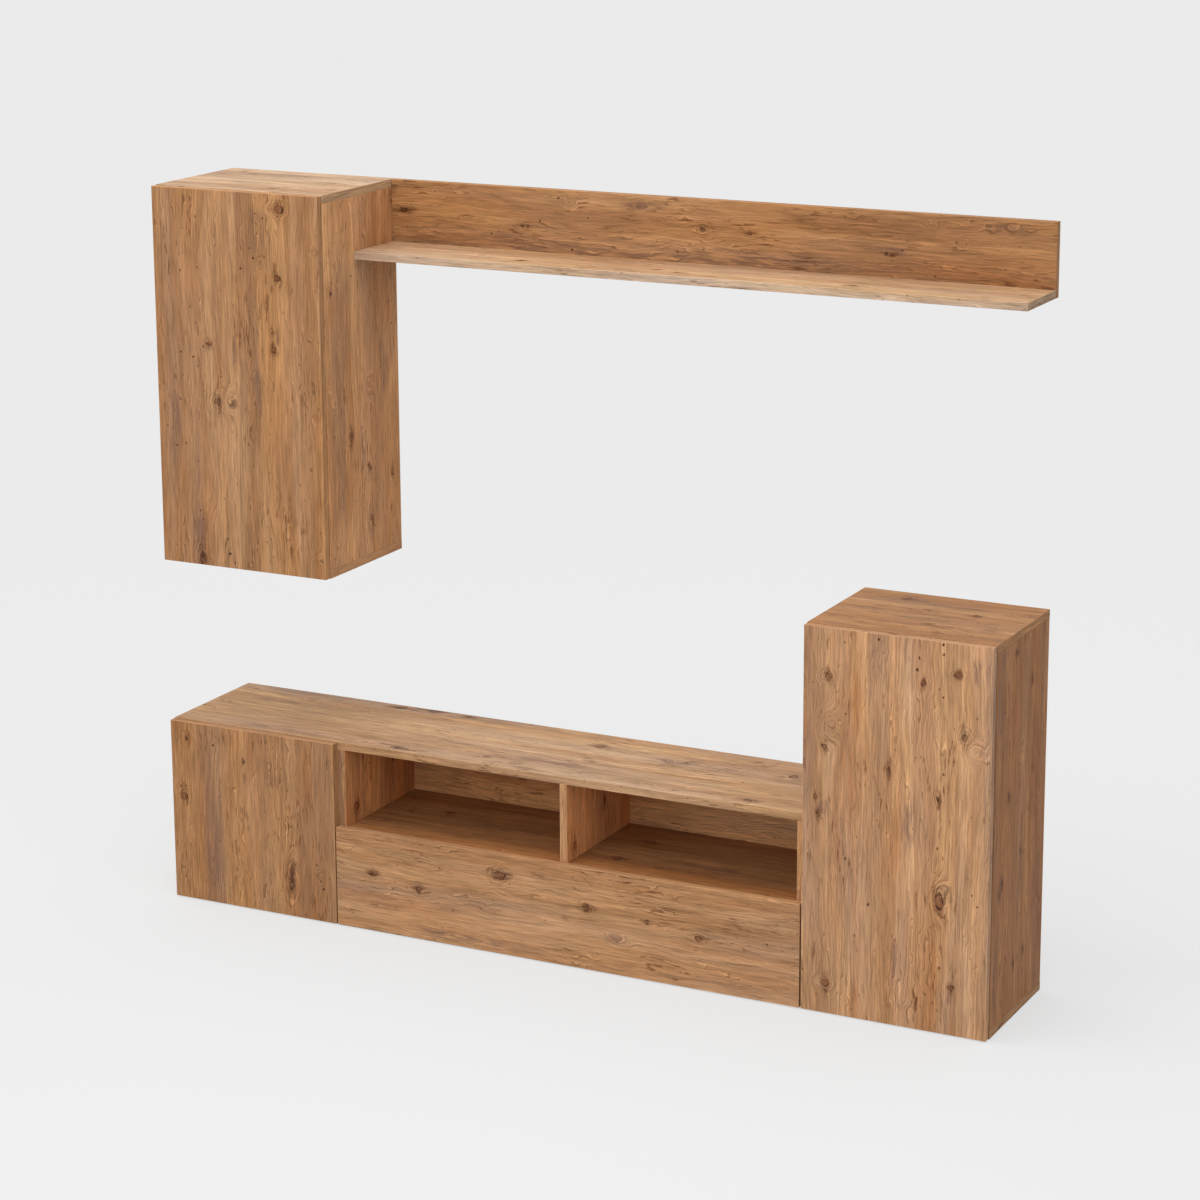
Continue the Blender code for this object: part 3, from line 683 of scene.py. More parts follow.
    def knot_colour(
        self, tree: FinishTree, colour: Value, given: bpy.types.NodeOutputs
    ) -> tuple[bpy.types.NodeSocket, bpy.types.NodeSocket]:
        """Draws the knots from the distances to them, counted in their own radii.

        Args:
            tree: the group's tree.
            colour: the wood's colour.
            given: the group's inputs.

        Returns:
            The colour, and how dark the knots make it, from 0 to 1.
        """
        ring, solid, pin = given["Ring"], given["Solid"], given["Pin"]
        near = tree.calc("MINIMUM", ring, solid)
        halo = tree.calc("MULTIPLY", tree.ease(near, self.halo_outside), tree.ease(near, self.halo_inside))
        waves = tree.calc("SINE", tree.calc("MULTIPLY", near, self.halo_waves))
        furrows = tree.ease(waves, self.halo_dark)
        arcs = tree.calc("SUBTRACT", tree.ease(waves, self.halo_light), furrows)
        patchy = tree.noise(given["Place"], self.knot_breaks)
        halo = tree.calc("MULTIPLY", halo, tree.ease(patchy, self.halo_gaps))
        colour = tree.scaled(colour, tree.calc("MULTIPLY_ADD", arcs, halo, 1.0))
        colour = tree.blend(tree.ease(ring, self.ring_amber), colour, linear(self.knot_amber))
        rim = tree.calc("ABSOLUTE", tree.calc("SUBTRACT", ring, self.rim_line))
        rim = tree.ease(rim, self.rim_share)
        rim = tree.calc("MULTIPLY", rim, tree.ease(patchy, self.rim_gaps))
        inner = tree.calc("ABSOLUTE", tree.calc("SUBTRACT", ring, self.inner_line))
        inner = tree.ease(inner, self.inner_share)
        inner = tree.calc("MULTIPLY", inner, tree.ease(patchy, self.inner_gaps))
        rim = tree.calc("MAXIMUM", rim, inner)
        filled = tree.ease(solid, self.filled_share)
        grainy = tree.ease(tree.noise(given["Place"], self.knot_grain), self.filled_gaps)
        uneven = tree.ease(tree.noise(given["Place"], self.pin_tones), self.pin_strength)
        dot = tree.calc("MULTIPLY", tree.ease(pin, self.pin_share), uneven)
        dark = tree.calc("MAXIMUM", rim, tree.calc("MULTIPLY", filled, grainy))
        dark = tree.calc("MAXIMUM", dark, dot)
        return tree.blend(dark, colour, linear(self.knot_brown)), dark

    def flecks(self, tree: FinishTree, place: Value) -> bpy.types.NodeSocket:
        """Scatters the smallest pin knots, too many to place one by one.

        Args:
            tree: the group's tree.
            place: the plain place on the board.

        Returns:
            A mask, 1 on a fleck.
        """
        cells = tree.node("ShaderNodeTexVoronoi", voronoi_dimensions="2D")
        tree.feed(cells.inputs["Vector"], tree.reckon("MULTIPLY", place, self.fleck_cells))
        cells.inputs["Scale"].default_value = 1.0
        chosen = tree.calc("GREATER_THAN", tree.parts(cells.outputs["Color"])[0], 1 - self.fleck_share)
        return tree.calc("MULTIPLY", tree.ease(cells.outputs["Distance"], self.fleck_edge), chosen)


@dataclass(frozen=True)
class PineDecor:
    """Knotty pine decor as it lies on the boards: its grain, marks and stains, the painted light and shade
    set board by board, and its relief.
    """

    figure: PineFigure = PineFigure()
    relief: float = 0.00025
    gloss_index: float = 1.20
    end_facing: float = 0.6
    slow_bend: Cloud = Cloud((8, 1.9, 1), 1.0)
    slow_shift: tuple[float, float] = (0.036, -0.018)
    quick_bend: Cloud = Cloud((44, 17, 1))
    quick_shift: tuple[float, float] = (0.0078, -0.0039)
    outlines: Cloud = Cloud((75, 48, 1), 3.0)
    outline_shift: Spot = (0.0110, 0.0150, 0.0)
    knot_reach: float = 2.8
    swell: float = 0.85
    swirl_rise: float = 1.1
    trail_shape: Spot = (2.2, 0.75, 0.0)
    pin_radius: float = 2.1
    pin_stretch: float = 1.3
    stain_share: Ramp = Ramp(0.3, 1.2, 0.62, 0.0)
    out_of_reach: float = 9.0
    raw_sheet: Tone = (124, 88, 58)
    sheet_fibre: Cloud = Cloud((420, 420, 420), 4.0, 0.7)
    sheet_light: Ramp = Ramp(0.3, 0.7, 0.8, 1.2)
    sheet_cloud: Cloud = Cloud((9, 9, 9), 3.0)
    sheet_drift: Ramp = Ramp(0.3, 0.7, 0.92, 1.08)

    def lie(self, tree: FinishTree, board: Board) -> tuple[bpy.types.NodeSocket, bpy.types.NodeSocket]:
        """Finds the place on the decor, with the grain along each edge as well.

        Args:
            tree: the board's tree.
            board: the board.

        Returns:
            The plain place, and the distance to the nearest edge of the board.
        """
        source = tree.node("ShaderNodeTexCoord")
        point = source.outputs["Object"]
        spot, normal = tree.parts(point), tree.parts(source.outputs["Normal"])
        across, along = AXES.index(board.across), AXES.index(board.along)
        thick = 3 - across - along
        low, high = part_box(board.node)
        depth = tree.calc("SUBTRACT", spot[thick], high[thick])
        if board.across == "z" or thick == 1:
            depth = tree.calc("SUBTRACT", spot[thick], low[thick])
        side = tree.calc("ADD", tree.calc("SUBTRACT", spot[across], board.corner[0]), depth)
        face = tree.joined(side, tree.calc("SUBTRACT", spot[along], board.corner[1]), board.seed)
        end = tree.joined(spot[thick], tree.calc("ADD", spot[across], board.seed), board.seed)
        on_end = tree.calc("GREATER_THAN", tree.calc("ABSOLUTE", normal[along]), self.end_facing)
        place = tree.blend(on_end, face, end, Mix.PLACES)
        middle, half = (low + high) / 2, (high - low) / 2
        inward = tree.reckon("SUBTRACT", point, tuple(middle))
        inward = tree.parts(tree.reckon("SUBTRACT", tuple(half), tree.reckon("ABSOLUTE", inward)))
        lower = tree.calc("MINIMUM", inward[0], inward[1])
        upper = tree.calc("MAXIMUM", inward[0], inward[1])
        arris = tree.calc("MAXIMUM", lower, tree.calc("MINIMUM", upper, inward[2]))
        return place, arris

    def bend(self, tree: FinishTree, place: Value) -> bpy.types.NodeSocket:
        """Lets the grain wander and roughens the outlines of what lies on it.

        Args:
            tree: the board's tree.
            place: the plain place.

        Returns:
            The wandering place.
        """
        slow = tree.calc("MULTIPLY_ADD", tree.noise(place, self.slow_bend), *self.slow_shift)
        quick = tree.calc("MULTIPLY_ADD", tree.noise(place, self.quick_bend), *self.quick_shift)
        return tree.reckon("ADD", place, tree.joined(tree.calc("ADD", slow, quick), quick))

    def from_mark(
        self, tree: FinishTree, marks: Value, middle: tuple[float, float], size: tuple[float, float]
    ) -> bpy.types.NodeSocket:
        """Measures how far the board's places lie from a mark, counted in the mark's own size.

        Args:
            tree: the board's tree.
            marks: the place that marks are counted from.
            middle: the mark's middle, in millimetres.
            size: its radii across and along, in millimetres.

        Returns:
            The way from the mark's middle.
        """
        ratio = (1 / (size[0] * MM), 1 / (size[1] * MM), 0.0)
        shift = (-middle[0] * MM * ratio[0], -middle[1] * MM * ratio[1], 0.0)
        return tree.reckon("MULTIPLY_ADD", marks, ratio, shift)

    def dress(self, board: Board) -> None:
        """Gives a board its material.

        Args:
            board: the board and its marks.
        """
        material, tree = new_material(f"{board.node} pine")
        place, arris = self.lie(tree, board)
        moved = tree.reckon("SUBTRACT", tree.clouds(place, self.outlines)["Color"], NOISE_MIDDLE)
        marks = tree.reckon("MULTIPLY_ADD", moved, self.outline_shift, place)
        grain = self.bend(tree, place)
        nearest: dict[KnotForm, Value] = {form: self.out_of_reach for form in KnotForm}
        trail: Value = self.out_of_reach
        for knot in board.knots():
            reach = knot.radius * MM * (1.0 if knot.form is KnotForm.SWIRL else self.knot_reach)
            size = (reach / MM, reach * knot.stretch / MM)
            away = self.from_mark(tree, marks, (knot.across, knot.along), size)
            far = tree.reckon("LENGTH", away)
            if knot.form is KnotForm.SWIRL:
                rise = tree.ease(far, Ramp(0.0, 1.0, reach * self.swirl_rise, 0.0))
                grain = tree.reckon("ADD", grain, tree.joined(rise, 0.0))
            else:
                pull = tree.ease(far, Ramp(0.0, 1.0, -reach * self.swell, 0.0))
                grain = tree.reckon("ADD", grain, tree.reckon("MULTIPLY", away, tree.joined(pull, pull)))
                beside = tree.reckon("LENGTH", tree.reckon("MULTIPLY", away, self.trail_shape))
                trail = tree.calc("MINIMUM", trail, beside)
            radii = tree.calc("MULTIPLY", far, reach / (knot.radius * MM))
            nearest[knot.form] = tree.calc("MINIMUM", nearest[knot.form], radii)
        for across, along in board.pins:
            size = (self.pin_radius, self.pin_radius * self.pin_stretch)
            far = self.from_mark(tree, marks, (across, along), size)
            nearest[KnotForm.PIN] = tree.calc("MINIMUM", nearest[KnotForm.PIN], tree.reckon("LENGTH", far))
        stains: dict[Stain, Value] = {stain: 0.0 for stain in Stain}
        for patch in board.patches():
            size = (patch.width / 2, patch.length / 2)
            far = self.from_mark(tree, marks, (patch.across, patch.along), size)
            strength = tree.ease(tree.reckon("LENGTH", far), self.stain_share)
            stains[patch.stain] = tree.calc("ADD", stains[patch.stain], strength)
        figure = tree.node("ShaderNodeGroup", node_tree=self.figure.group())
        tree.feed(figure.inputs["Place"], place)
        tree.feed(figure.inputs["Grain"], grain)
        tree.feed(figure.inputs["Trail"], trail)
        tree.feed(figure.inputs["Arris"], arris)
        for name, value in (nearest | stains).items():
            tree.feed(figure.inputs[name.value], value)
        # Per-board lightness and tint: partly the board's own tone, partly painted light and shade for how
        # its face is lit.
        colour = tree.reckon("MULTIPLY", tree.scaled(figure.outputs["Colour"], board.light), board.cast)
        # The front edge's own tint, painted for how that edge is lit.
        if board.edge:
            normal = tree.node("ShaderNodeTexCoord").outputs["Normal"]
            band = tree.calc("LESS_THAN", tree.parts(normal)[1], -self.end_facing)
            colour = tree.blend(band, colour, tree.reckon("MULTIPLY", colour, board.edge))
        if board.raw_back:
            colour = self.sheet_back(tree, colour)
        shader = tree.surface(colour, figure.outputs["Roughness"], figure.outputs["Height"], self.relief)
        shader.inputs["IOR"].default_value = self.gloss_index
        wear(bpy.data.objects[board.node], material)

    def sheet_back(self, tree: FinishTree, colour: Value) -> bpy.types.NodeSocket:
        """Leaves the wall side of a thin back as plain pressed fibre.

        Args:
            tree: the board's tree.
            colour: the decor's colour.

        Returns:
            The colour of both sides.
        """
        source = tree.node("ShaderNodeTexCoord")
        fibre = tree.noise(source.outputs["Object"], self.sheet_fibre)
        cloud = tree.noise(source.outputs["Object"], self.sheet_cloud)
        raw = tree.scaled(linear(self.raw_sheet)[:3], tree.ease(fibre, self.sheet_light))
        raw = tree.scaled(raw, tree.ease(cloud, self.sheet_drift))
        behind = tree.calc("GREATER_THAN", tree.parts(source.outputs["Normal"])[1], self.end_facing)
        return tree.blend(behind, colour, raw)


@dataclass(frozen=True)
class PlatedSteel:
    """Nickel-plated pressed steel with faint drawing marks."""

    tone: Tone = (196, 194, 190)
    roughness: float = 0.30
    relief: float = 0.00004
    scratch_haze: float = 0.16
    scratches: Cloud = Cloud((900, 900, 30), 3.0, 0.6)
    clouding: Cloud = Cloud((60, 60, 60), 3.0)
    cloud_light: Ramp = Ramp(0.3, 0.7, 0.9, 1.05)
    cloud_haze: Ramp = Ramp(0.4, 0.7, 0.0, 0.08)

    def material(self, name: str) -> bpy.types.Material:
        """Makes the finish.

        Args:
            name: the material's name.

        Returns:
            The material.
        """
        material, tree = new_material(name)
        place = tree.node("ShaderNodeTexCoord").outputs["Object"]
        drawn = tree.noise(place, self.scratches)
        cloud = tree.noise(place, self.clouding)
        colour = tree.scaled(linear(self.tone)[:3], tree.ease(cloud, self.cloud_light))
        rough = tree.calc("MULTIPLY_ADD", drawn, self.scratch_haze, self.roughness - self.scratch_haze / 2)
        rough = tree.calc("ADD", rough, tree.ease(cloud, self.cloud_haze))
        shader = tree.surface(colour, rough, drawn, self.relief)
        shader.inputs["Metallic"].default_value = 1.0
        return material


@dataclass(frozen=True)
class MouldedPlastic:
    """Moulded plastic with a fine spark-worn skin."""

    tone: Tone = (150, 150, 148)
    roughness: float = 0.45
    relief: float = 0.00006
    skin_haze: float = 0.14
    skin: Cloud = Cloud((1500, 1500, 1500), 2.0, 0.6)
    flow: Cloud = Cloud((45, 45, 12), 3.0)
    flow_light: Ramp = Ramp(0.3, 0.7, 0.93, 1.05)

    def material(self, name: str) -> bpy.types.Material:
        """Makes the finish.

        Args:
            name: the material's name.

        Returns:
            The material.
        """
        material, tree = new_material(name)
        place = tree.node("ShaderNodeTexCoord").outputs["Object"]
        skin = tree.noise(place, self.skin)
        flow = tree.noise(place, self.flow)
        colour = tree.scaled(linear(self.tone)[:3], tree.ease(flow, self.flow_light))
        rough = tree.calc("MULTIPLY_ADD", skin, self.skin_haze, self.roughness - self.skin_haze / 2)
        tree.surface(colour, rough, skin, self.relief)
        return material


def put(name: str, data: bpy.types.ID) -> bpy.types.Object:
    """Makes an object of a mesh, a lamp or a camera and adds it to the scene.

    Args:
        name: the object's name.
        data: what it shows.

    Returns:
        The object.
    """
    obj = bpy.data.objects.new(name, data)
    bpy.context.scene.collection.objects.link(obj)
    return obj


def mesh_of(name: str, shape: Shape) -> bpy.types.Mesh:
    """Turns a shape into a mesh and frees the shape.

    Args:
        name: the mesh's name.
        shape: the shape.

    Returns:
        The mesh.
    """
    mesh = bpy.data.meshes.new(name)
    shape.to_mesh(mesh)
    shape.free()
    return mesh


def turned(profile: Sequence[Mark], steps: int) -> Shape:
    """Turns a profile of radius and height round the z axis.

    Args:
        profile: radii and heights from the lowest point to the top, both ends at radius 0.
        steps: how many facets go round.

    Returns:
        The closed shape.
    """
    shape = bmesh.new()
    rings: list[list[bmesh.types.BMVert]] = []
    for radius, height in profile:
        count = steps if radius else 1
        turns = [math.tau * step / steps for step in range(count)]
        rings.append([shape.verts.new((radius * math.cos(t), radius * math.sin(t), height)) for t in turns])
    for lower, upper in zip(rings, rings[1:]):
        for step in range(steps):
            corners = [lower[step % len(lower)], lower[(step + 1) % len(lower)]]
            corners += [upper[(step + 1) % len(upper)], upper[step % len(upper)]]
            shape.faces.new(list(dict.fromkeys(corners)))
    bmesh.ops.recalc_face_normals(shape, faces=shape.faces)
    return shape


class Merge(Enum):
    """What one closed shape does to another."""

    JOIN = "UNION"
    CUT = "DIFFERENCE"


def merged(shape: Shape, tool: Shape, way: Merge) -> Shape:
    """Cuts one closed shape from another, or joins it on.

    Args:
        shape: the shape that stays.
        tool: the shape that cuts it or is joined on.
        way: which of the two.

    Returns:
        The result.
    """
    objects = [put("kept", mesh_of("kept", shape)), put("tool", mesh_of("tool", tool))]
    modifier = objects[0].modifiers.new("merge", "BOOLEAN")
    modifier.operation, modifier.solver, modifier.object = way.value, "EXACT", objects[1]
    result = bmesh.new()
    result.from_object(objects[0], bpy.context.evaluated_depsgraph_get())
    for obj in objects:
        mesh = obj.data
        bpy.data.objects.remove(obj)
        bpy.data.meshes.remove(mesh)
    return result


def block(size: Spot, centre: Spot, arris: float = 0.0) -> Shape:
    """Makes a block, with broken edges if asked.

    Args:
        size: its three lengths.
        centre: its middle.
        arris: how wide its edges are broken.

    Returns:
        The closed shape.
    """
    shape = bmesh.new()
    stand = Matrix.Translation(centre) @ Matrix.Diagonal((*size, 1.0))
    bmesh.ops.create_cube(shape, size=1.0, matrix=stand)
    if arris:
        bmesh.ops.bevel(shape, geom=shape.edges, offset=arris, segments=2, affect="EDGES", profile=0.5)
    return shape


@dataclass(frozen=True)
class Seat:
    """Where a small piece sits: a point on a surface and the way that it faces.

    Where the piece has an underside, down says which way that one looks.
    """

    point: Vector | Spot
    facing: Spot
    down: Spot | None = None

    def matrix(self) -> Matrix:
        """Finds how the piece stands: its z axis leads off the surface, its y axis down if asked.

        Returns:
            The matrix.
        """
        facing = Vector(self.facing)
        turn = facing.to_track_quat("Z", "Y").to_matrix().to_4x4()
        if self.down:
            down = Vector(self.down)
            turn = Matrix((down.cross(facing), down, facing)).transposed().to_4x4()
        return Matrix.Translation(self.point) @ turn


def spread(
    name: str, shape: Shape, seats: list[Seat], body: str, material: bpy.types.Material
) -> bpy.types.Object:
    """Sets copies of a small shape on their seats, as one piece that rides on a body.

    Args:
        name: the piece's name.
        shape: the shape, standing on z = 0.
        seats: where the copies sit.
        body: the body that carries them.
        material: their finish.

    Returns:
        The piece.
    """
    single = mesh_of(f"{name}_one", shape)
    whole = bmesh.new()
    for seat in seats:
        copy = single.copy()
        copy.transform(seat.matrix())
        whole.from_mesh(copy)
        bpy.data.meshes.remove(copy)
    bpy.data.meshes.remove(single)
    mesh = mesh_of(name, whole)
    mesh.shade_smooth()
    mesh.set_sharp_from_angle(angle=SMOOTH_ANGLE)
    piece = put(name, mesh)
    wear(piece, material)
    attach(piece, body)
    LOG.info("%s: %d on %s", name, len(seats), body)
    return piece


@dataclass(frozen=True)
class Button:
    """A small turned head, cap, collar or bumper.

    Its outline, from the rim to the middle, is given in shares of its radius and height, and
    its underside is sunk a little into the surface that it sits on.
    """

    radius: float
    height: float
    outline: tuple[Mark, ...]
    sunk: float = 0.0
    steps: int = 20

    def shape(self) -> Shape:
        """Makes the head.

        Returns:
            The closed shape.
        """
        foot = [(0.0, -self.sunk), (self.radius, -self.sunk)]
        rise = [(self.radius * across, self.height * up) for across, up in self.outline]
        return turned(foot + rise, self.steps)


@dataclass(frozen=True)
class CrossScrew:
    """A screw's domed head with a cross recess."""

    radius: float = 0.0033
    height: float = 0.0016
    recess: float = 0.0011
    slot_width: float = 0.0009
    slot_length: float = 1.15
    sunk: float = 0.0002
    outline: tuple[Mark, ...] = ((1, 0.28), (0.93, 0.56), (0.74, 0.82), (0.45, 0.96), (0, 1))

    def head(self) -> Shape:
        """Makes the head.

        Returns:
            The closed shape.
        """
        dome = Button(self.radius, self.height, self.outline, self.sunk).shape()
        length, width, depth = self.radius * self.slot_length, self.slot_width, self.recess * 2
        top = (0.0, 0.0, self.height)
        bar, post = block((length, width, depth), top), block((width, length, depth), top)
        return merged(dome, merged(bar, post, Merge.JOIN), Merge.CUT)


HINGE_SCREW = CrossScrew()
ARM_SCREW = CrossScrew(0.0028, 0.0011, 0.0008)
HANGING_SCREW = CrossScrew(0.0038, 0.0016)
STAY_SCREW = CrossScrew(0.0028, 0.0013)
STUD_SCREW = CrossScrew(0.0022, 0.0007, 0.0005, 0.0007)
JOINING_BOLT = CrossScrew(0.0075, 0.0018, 0.0013, 0.0018)
PANEL_NAIL = Button(0.0022, 0.0004, ((1, 0.5), (0.86, 1), (0, 1)), 0.0002, 14)
CAM_CAP = Button(
    0.0085, 0.0012, ((1, 0.35), (0.95, 0.62), (0.88, 0.6), (0.8, 0.74), (0.4, 0.95), (0, 1)), 0.0004, 28
)
SOFT_BUFFER = Button(0.0042, 0.0011, ((1, 0.4), (0.84, 0.8), (0.5, 1), (0, 1)))
PEG_COLLAR = Button(0.0050, 0.0014, ((1, 0.6), (0.88, 1), (0, 1)))


@dataclass(frozen=True)
class ShelfPeg:
    """A plug-in shelf peg: a round collar on the side and a tongue that carries the shelf."""

    collar: Button = PEG_COLLAR
    width: float = 0.0075
    thick: float = 0.0022
    reach: float = 0.0090
    play: float = 0.0002
    arris: float = 0.0005

    def peg(self) -> Shape:
        """Makes the peg. Its z axis leads out of the side and its y axis points down.

        Returns:
            The closed shape.
        """
        collar = self.collar.shape()
        collar.transform(Matrix.Translation((0, self.collar.radius + self.play, 0)))
        middle = (0.0, self.play + self.thick / 2, self.reach / 2 + self.play)
        tongue = block((self.width, self.thick, self.reach), middle, self.arris)
        return merged(collar, tongue, Merge.JOIN)


@dataclass(frozen=True)
class HingeFittings:
    """The screws of one cup hinge, counted from the hinge's axis."""

    axis_point: Spot
    away: Spot
    along: Spot
    carcass_face: float = 0.0103
    plate: float = 0.0030
    plate_line: float = 0.0515
    plate_screw: float = 0.0150
    cup_line: float = 0.0215
    cup_face: float = 0.0140
    cup_screw: float = 0.0210
    arm_top: float = 0.0270
    arm_screws: tuple[float, float] = (0.0290, 0.0450)

    def seat(self, away: float, inward: float, along: float, facing: Spot) -> Seat:
        """Finds a seat from lengths along the hinge's own directions.

        Args:
            away: length from the axis, away from the hinged edge.
            inward: length from the axis into the cabinet.
            along: length along the axis.
            facing: which way the seat faces.

        Returns:
            The seat.
        """
        point = Vector(self.axis_point) + Vector(self.away) * away + Vector(self.along) * along
        return Seat(point + Vector(BACK) * inward, facing)

    def build(self, name: str, fixed: str, moving: str, steel: bpy.types.Material) -> None:
        """Makes the screws of the arm, its wing plate and the cup's flange.

        Args:
            name: how the hinge is called.
            fixed: the body that carries the arm.
            moving: the body of the front.
            steel: the screws' finish.
        """
        face = self.carcass_face + self.plate
        plate = [self.seat(face, self.plate_line, side * self.plate_screw, self.away) for side in (-1, 1)]
        arm = [self.seat(self.arm_top, inward, 0.0, self.away) for inward in self.arm_screws]
        cup = [self.seat(self.cup_line, self.cup_face, side * self.cup_screw, BACK) for side in (-1, 1)]
        pieces = (
            (f"{name}_plate_screws", HINGE_SCREW, plate, fixed),
            (f"{name}_arm_screws", ARM_SCREW, arm, fixed),
            (f"{name}_cup_screws", HINGE_SCREW, cup, moving),
        )
        for title, kind, seats, body in pieces:
            spread(title, kind.head(), seats, body, steel)


@dataclass
class Workshop:
    """Holds the finishes that the sub-assemblies share, and fits their small hardware."""

    nail_margin: float = 0.018
    cap_rows: tuple[float, float] = (-0.090, 0.090)
    latch_ear: float = 0.003
    latch_screw: float = 0.013
    bolt_height: float = 0.115
    bolt_rows: tuple[float, float] = (-0.060, 0.080)

    def __post_init__(self) -> None:
        """Makes each shared finish once."""
        self.pine = PineDecor()
        self.steel = PlatedSteel().material("plated steel")
        self.screw_steel = PlatedSteel(tone=(206, 203, 196), roughness=0.26).material("screw steel")
        self.plastic = MouldedPlastic().material("grey moulded plastic")
        self.cap_plastic = MouldedPlastic(tone=(142, 100, 66), roughness=0.5).material("cap plastic")
        self.buffer = MouldedPlastic(tone=(214, 212, 206), roughness=0.35).material("buffer plastic")

    def dress_steel(self, *nodes: str) -> None:
        """Puts plated steel on CAD nodes."""
        for node in nodes:
            wear(bpy.data.objects[node], self.steel)

    def dress_plastic(self, *nodes: str) -> None:
        """Puts moulded plastic on CAD nodes."""
        for node in nodes:
            wear(bpy.data.objects[node], self.plastic)

    def screws(self, name: str, kind: CrossScrew, seats: list[Seat], body: str) -> bpy.types.Object:
        """Drives screws of one kind and gives the piece."""
        return spread(name, kind.head(), seats, body, self.screw_steel)

    def hinges(
        self, prefix: str, spots: tuple[str, ...], points: list[Spot], away: Spot, along: Spot, front: str
    ) -> None:
        """Dresses a front's cup hinges and screws them on.

        Args:
            prefix: the start of the hinges' names.
            spots: the end of each hinge's name.
            points: a point on each hinge's axis.
            away: which way leads away from the hinged edge.
            along: which way the axis runs.
            front: the front's body.
        """
        for spot, point in zip(spots, points):
            name = f"{prefix}_hinge_{spot}"
            self.dress_steel(f"{name}_arm", f"{name}_cup")
            HingeFittings(point, away, along).build(name, "carcasses", front, self.screw_steel)

    def latch(self, prefix: str) -> None:
        """Dresses a push latch and screws it on.

        Args:
            prefix: the start of the latch's node names.
        """
        self.dress_plastic(f"{prefix}_latch_housing", f"{prefix}_latch_plunger")
        low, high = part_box(f"{prefix}_latch_housing")
        middle = (low + high) / 2
        under = high.z - self.latch_ear
        seats = [Seat((middle.x + side * self.latch_screw, middle.y, under), DOWN) for side in (-1, 1)]
        screws = self.screws(f"{prefix}_latch_screws", HINGE_SCREW, seats, "carcasses")

    def bolts(self, name: str, face: float, facing: Spot) -> None:
        """Shows the heads of the bolts that join the tall cabinet to the bench.

        Args:
            name: the piece's name.
            face: x of the face that the heads sit on.
            facing: which way that face looks.
        """
        seats = [Seat((face, row, self.bolt_height), facing) for row in self.bolt_rows]
        bolts = self.screws(name, JOINING_BOLT, seats, "carcasses")

    def pegs(self, name: str, shelf: str, faces: tuple[float, float], rows: tuple[float, float]) -> None:
        """Puts four pegs under a shelf.

        Args:
            name: the piece's name.
            shelf: the shelf's node.
            faces: x of the two side faces that hold the pegs.
            rows: y of the front and rear pegs.
        """
        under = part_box(shelf)[0].z
        ways = zip(faces, (RIGHT, LEFT))
        seats = [Seat((face, row, under), way, DOWN) for face, way in ways for row in rows]
        spread(name, ShelfPeg().peg(), seats, "carcasses", self.screw_steel)

    def nails(self, name: str, sheet: str, columns: tuple[float, ...], pitch: float) -> None:
        """Nails a thin back to the boards in front of it.

        Args:
            name: the piece's name.
            sheet: the back's node.
            columns: x of each row of nails.
            pitch: the greatest distance between two nails.
        """
        low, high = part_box(sheet)
        margin = self.nail_margin
        run = high.z - low.z - 2 * margin
        count = math.ceil(run / pitch)
        heights = [low.z + margin + run * step / count for step in range(count + 1)]
        seats = [Seat((x, high.y, z), BACK) for x in columns for z in heights]
        spread(name, PANEL_NAIL.shape(), seats, "carcasses", self.screw_steel)

    def caps(self, name: str, faces: tuple[float, float], heights: tuple[float, ...]) -> None:
        """Covers the cam fittings on the inner faces of two sides.

        Args:
            name: the piece's name.
            faces: x of the left and right inner faces.
            heights: z of each pair of fittings.
        """
        places = [(y, z) for y in self.cap_rows for z in heights]
        seats = [Seat((x, y, z), way) for x, way in zip(faces, (RIGHT, LEFT)) for y, z in places]
        spread(name, CAM_CAP.shape(), seats, "carcasses", self.cap_plastic)

    def buffers(self, name: str, front: str, body: str, spots: Sequence[Mark]) -> None:
        """Sticks soft buffers on the inner face of a front.

        Args:
            name: the piece's name.
            front: the front's node.
            body: the front's body.
            spots: x and z of each buffer.
        """
        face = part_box(front)[1].y
        seats = [Seat((x, face, z), BACK) for x, z in spots]
        spread(name, SOFT_BUFFER.shape(), seats, body, self.buffer)


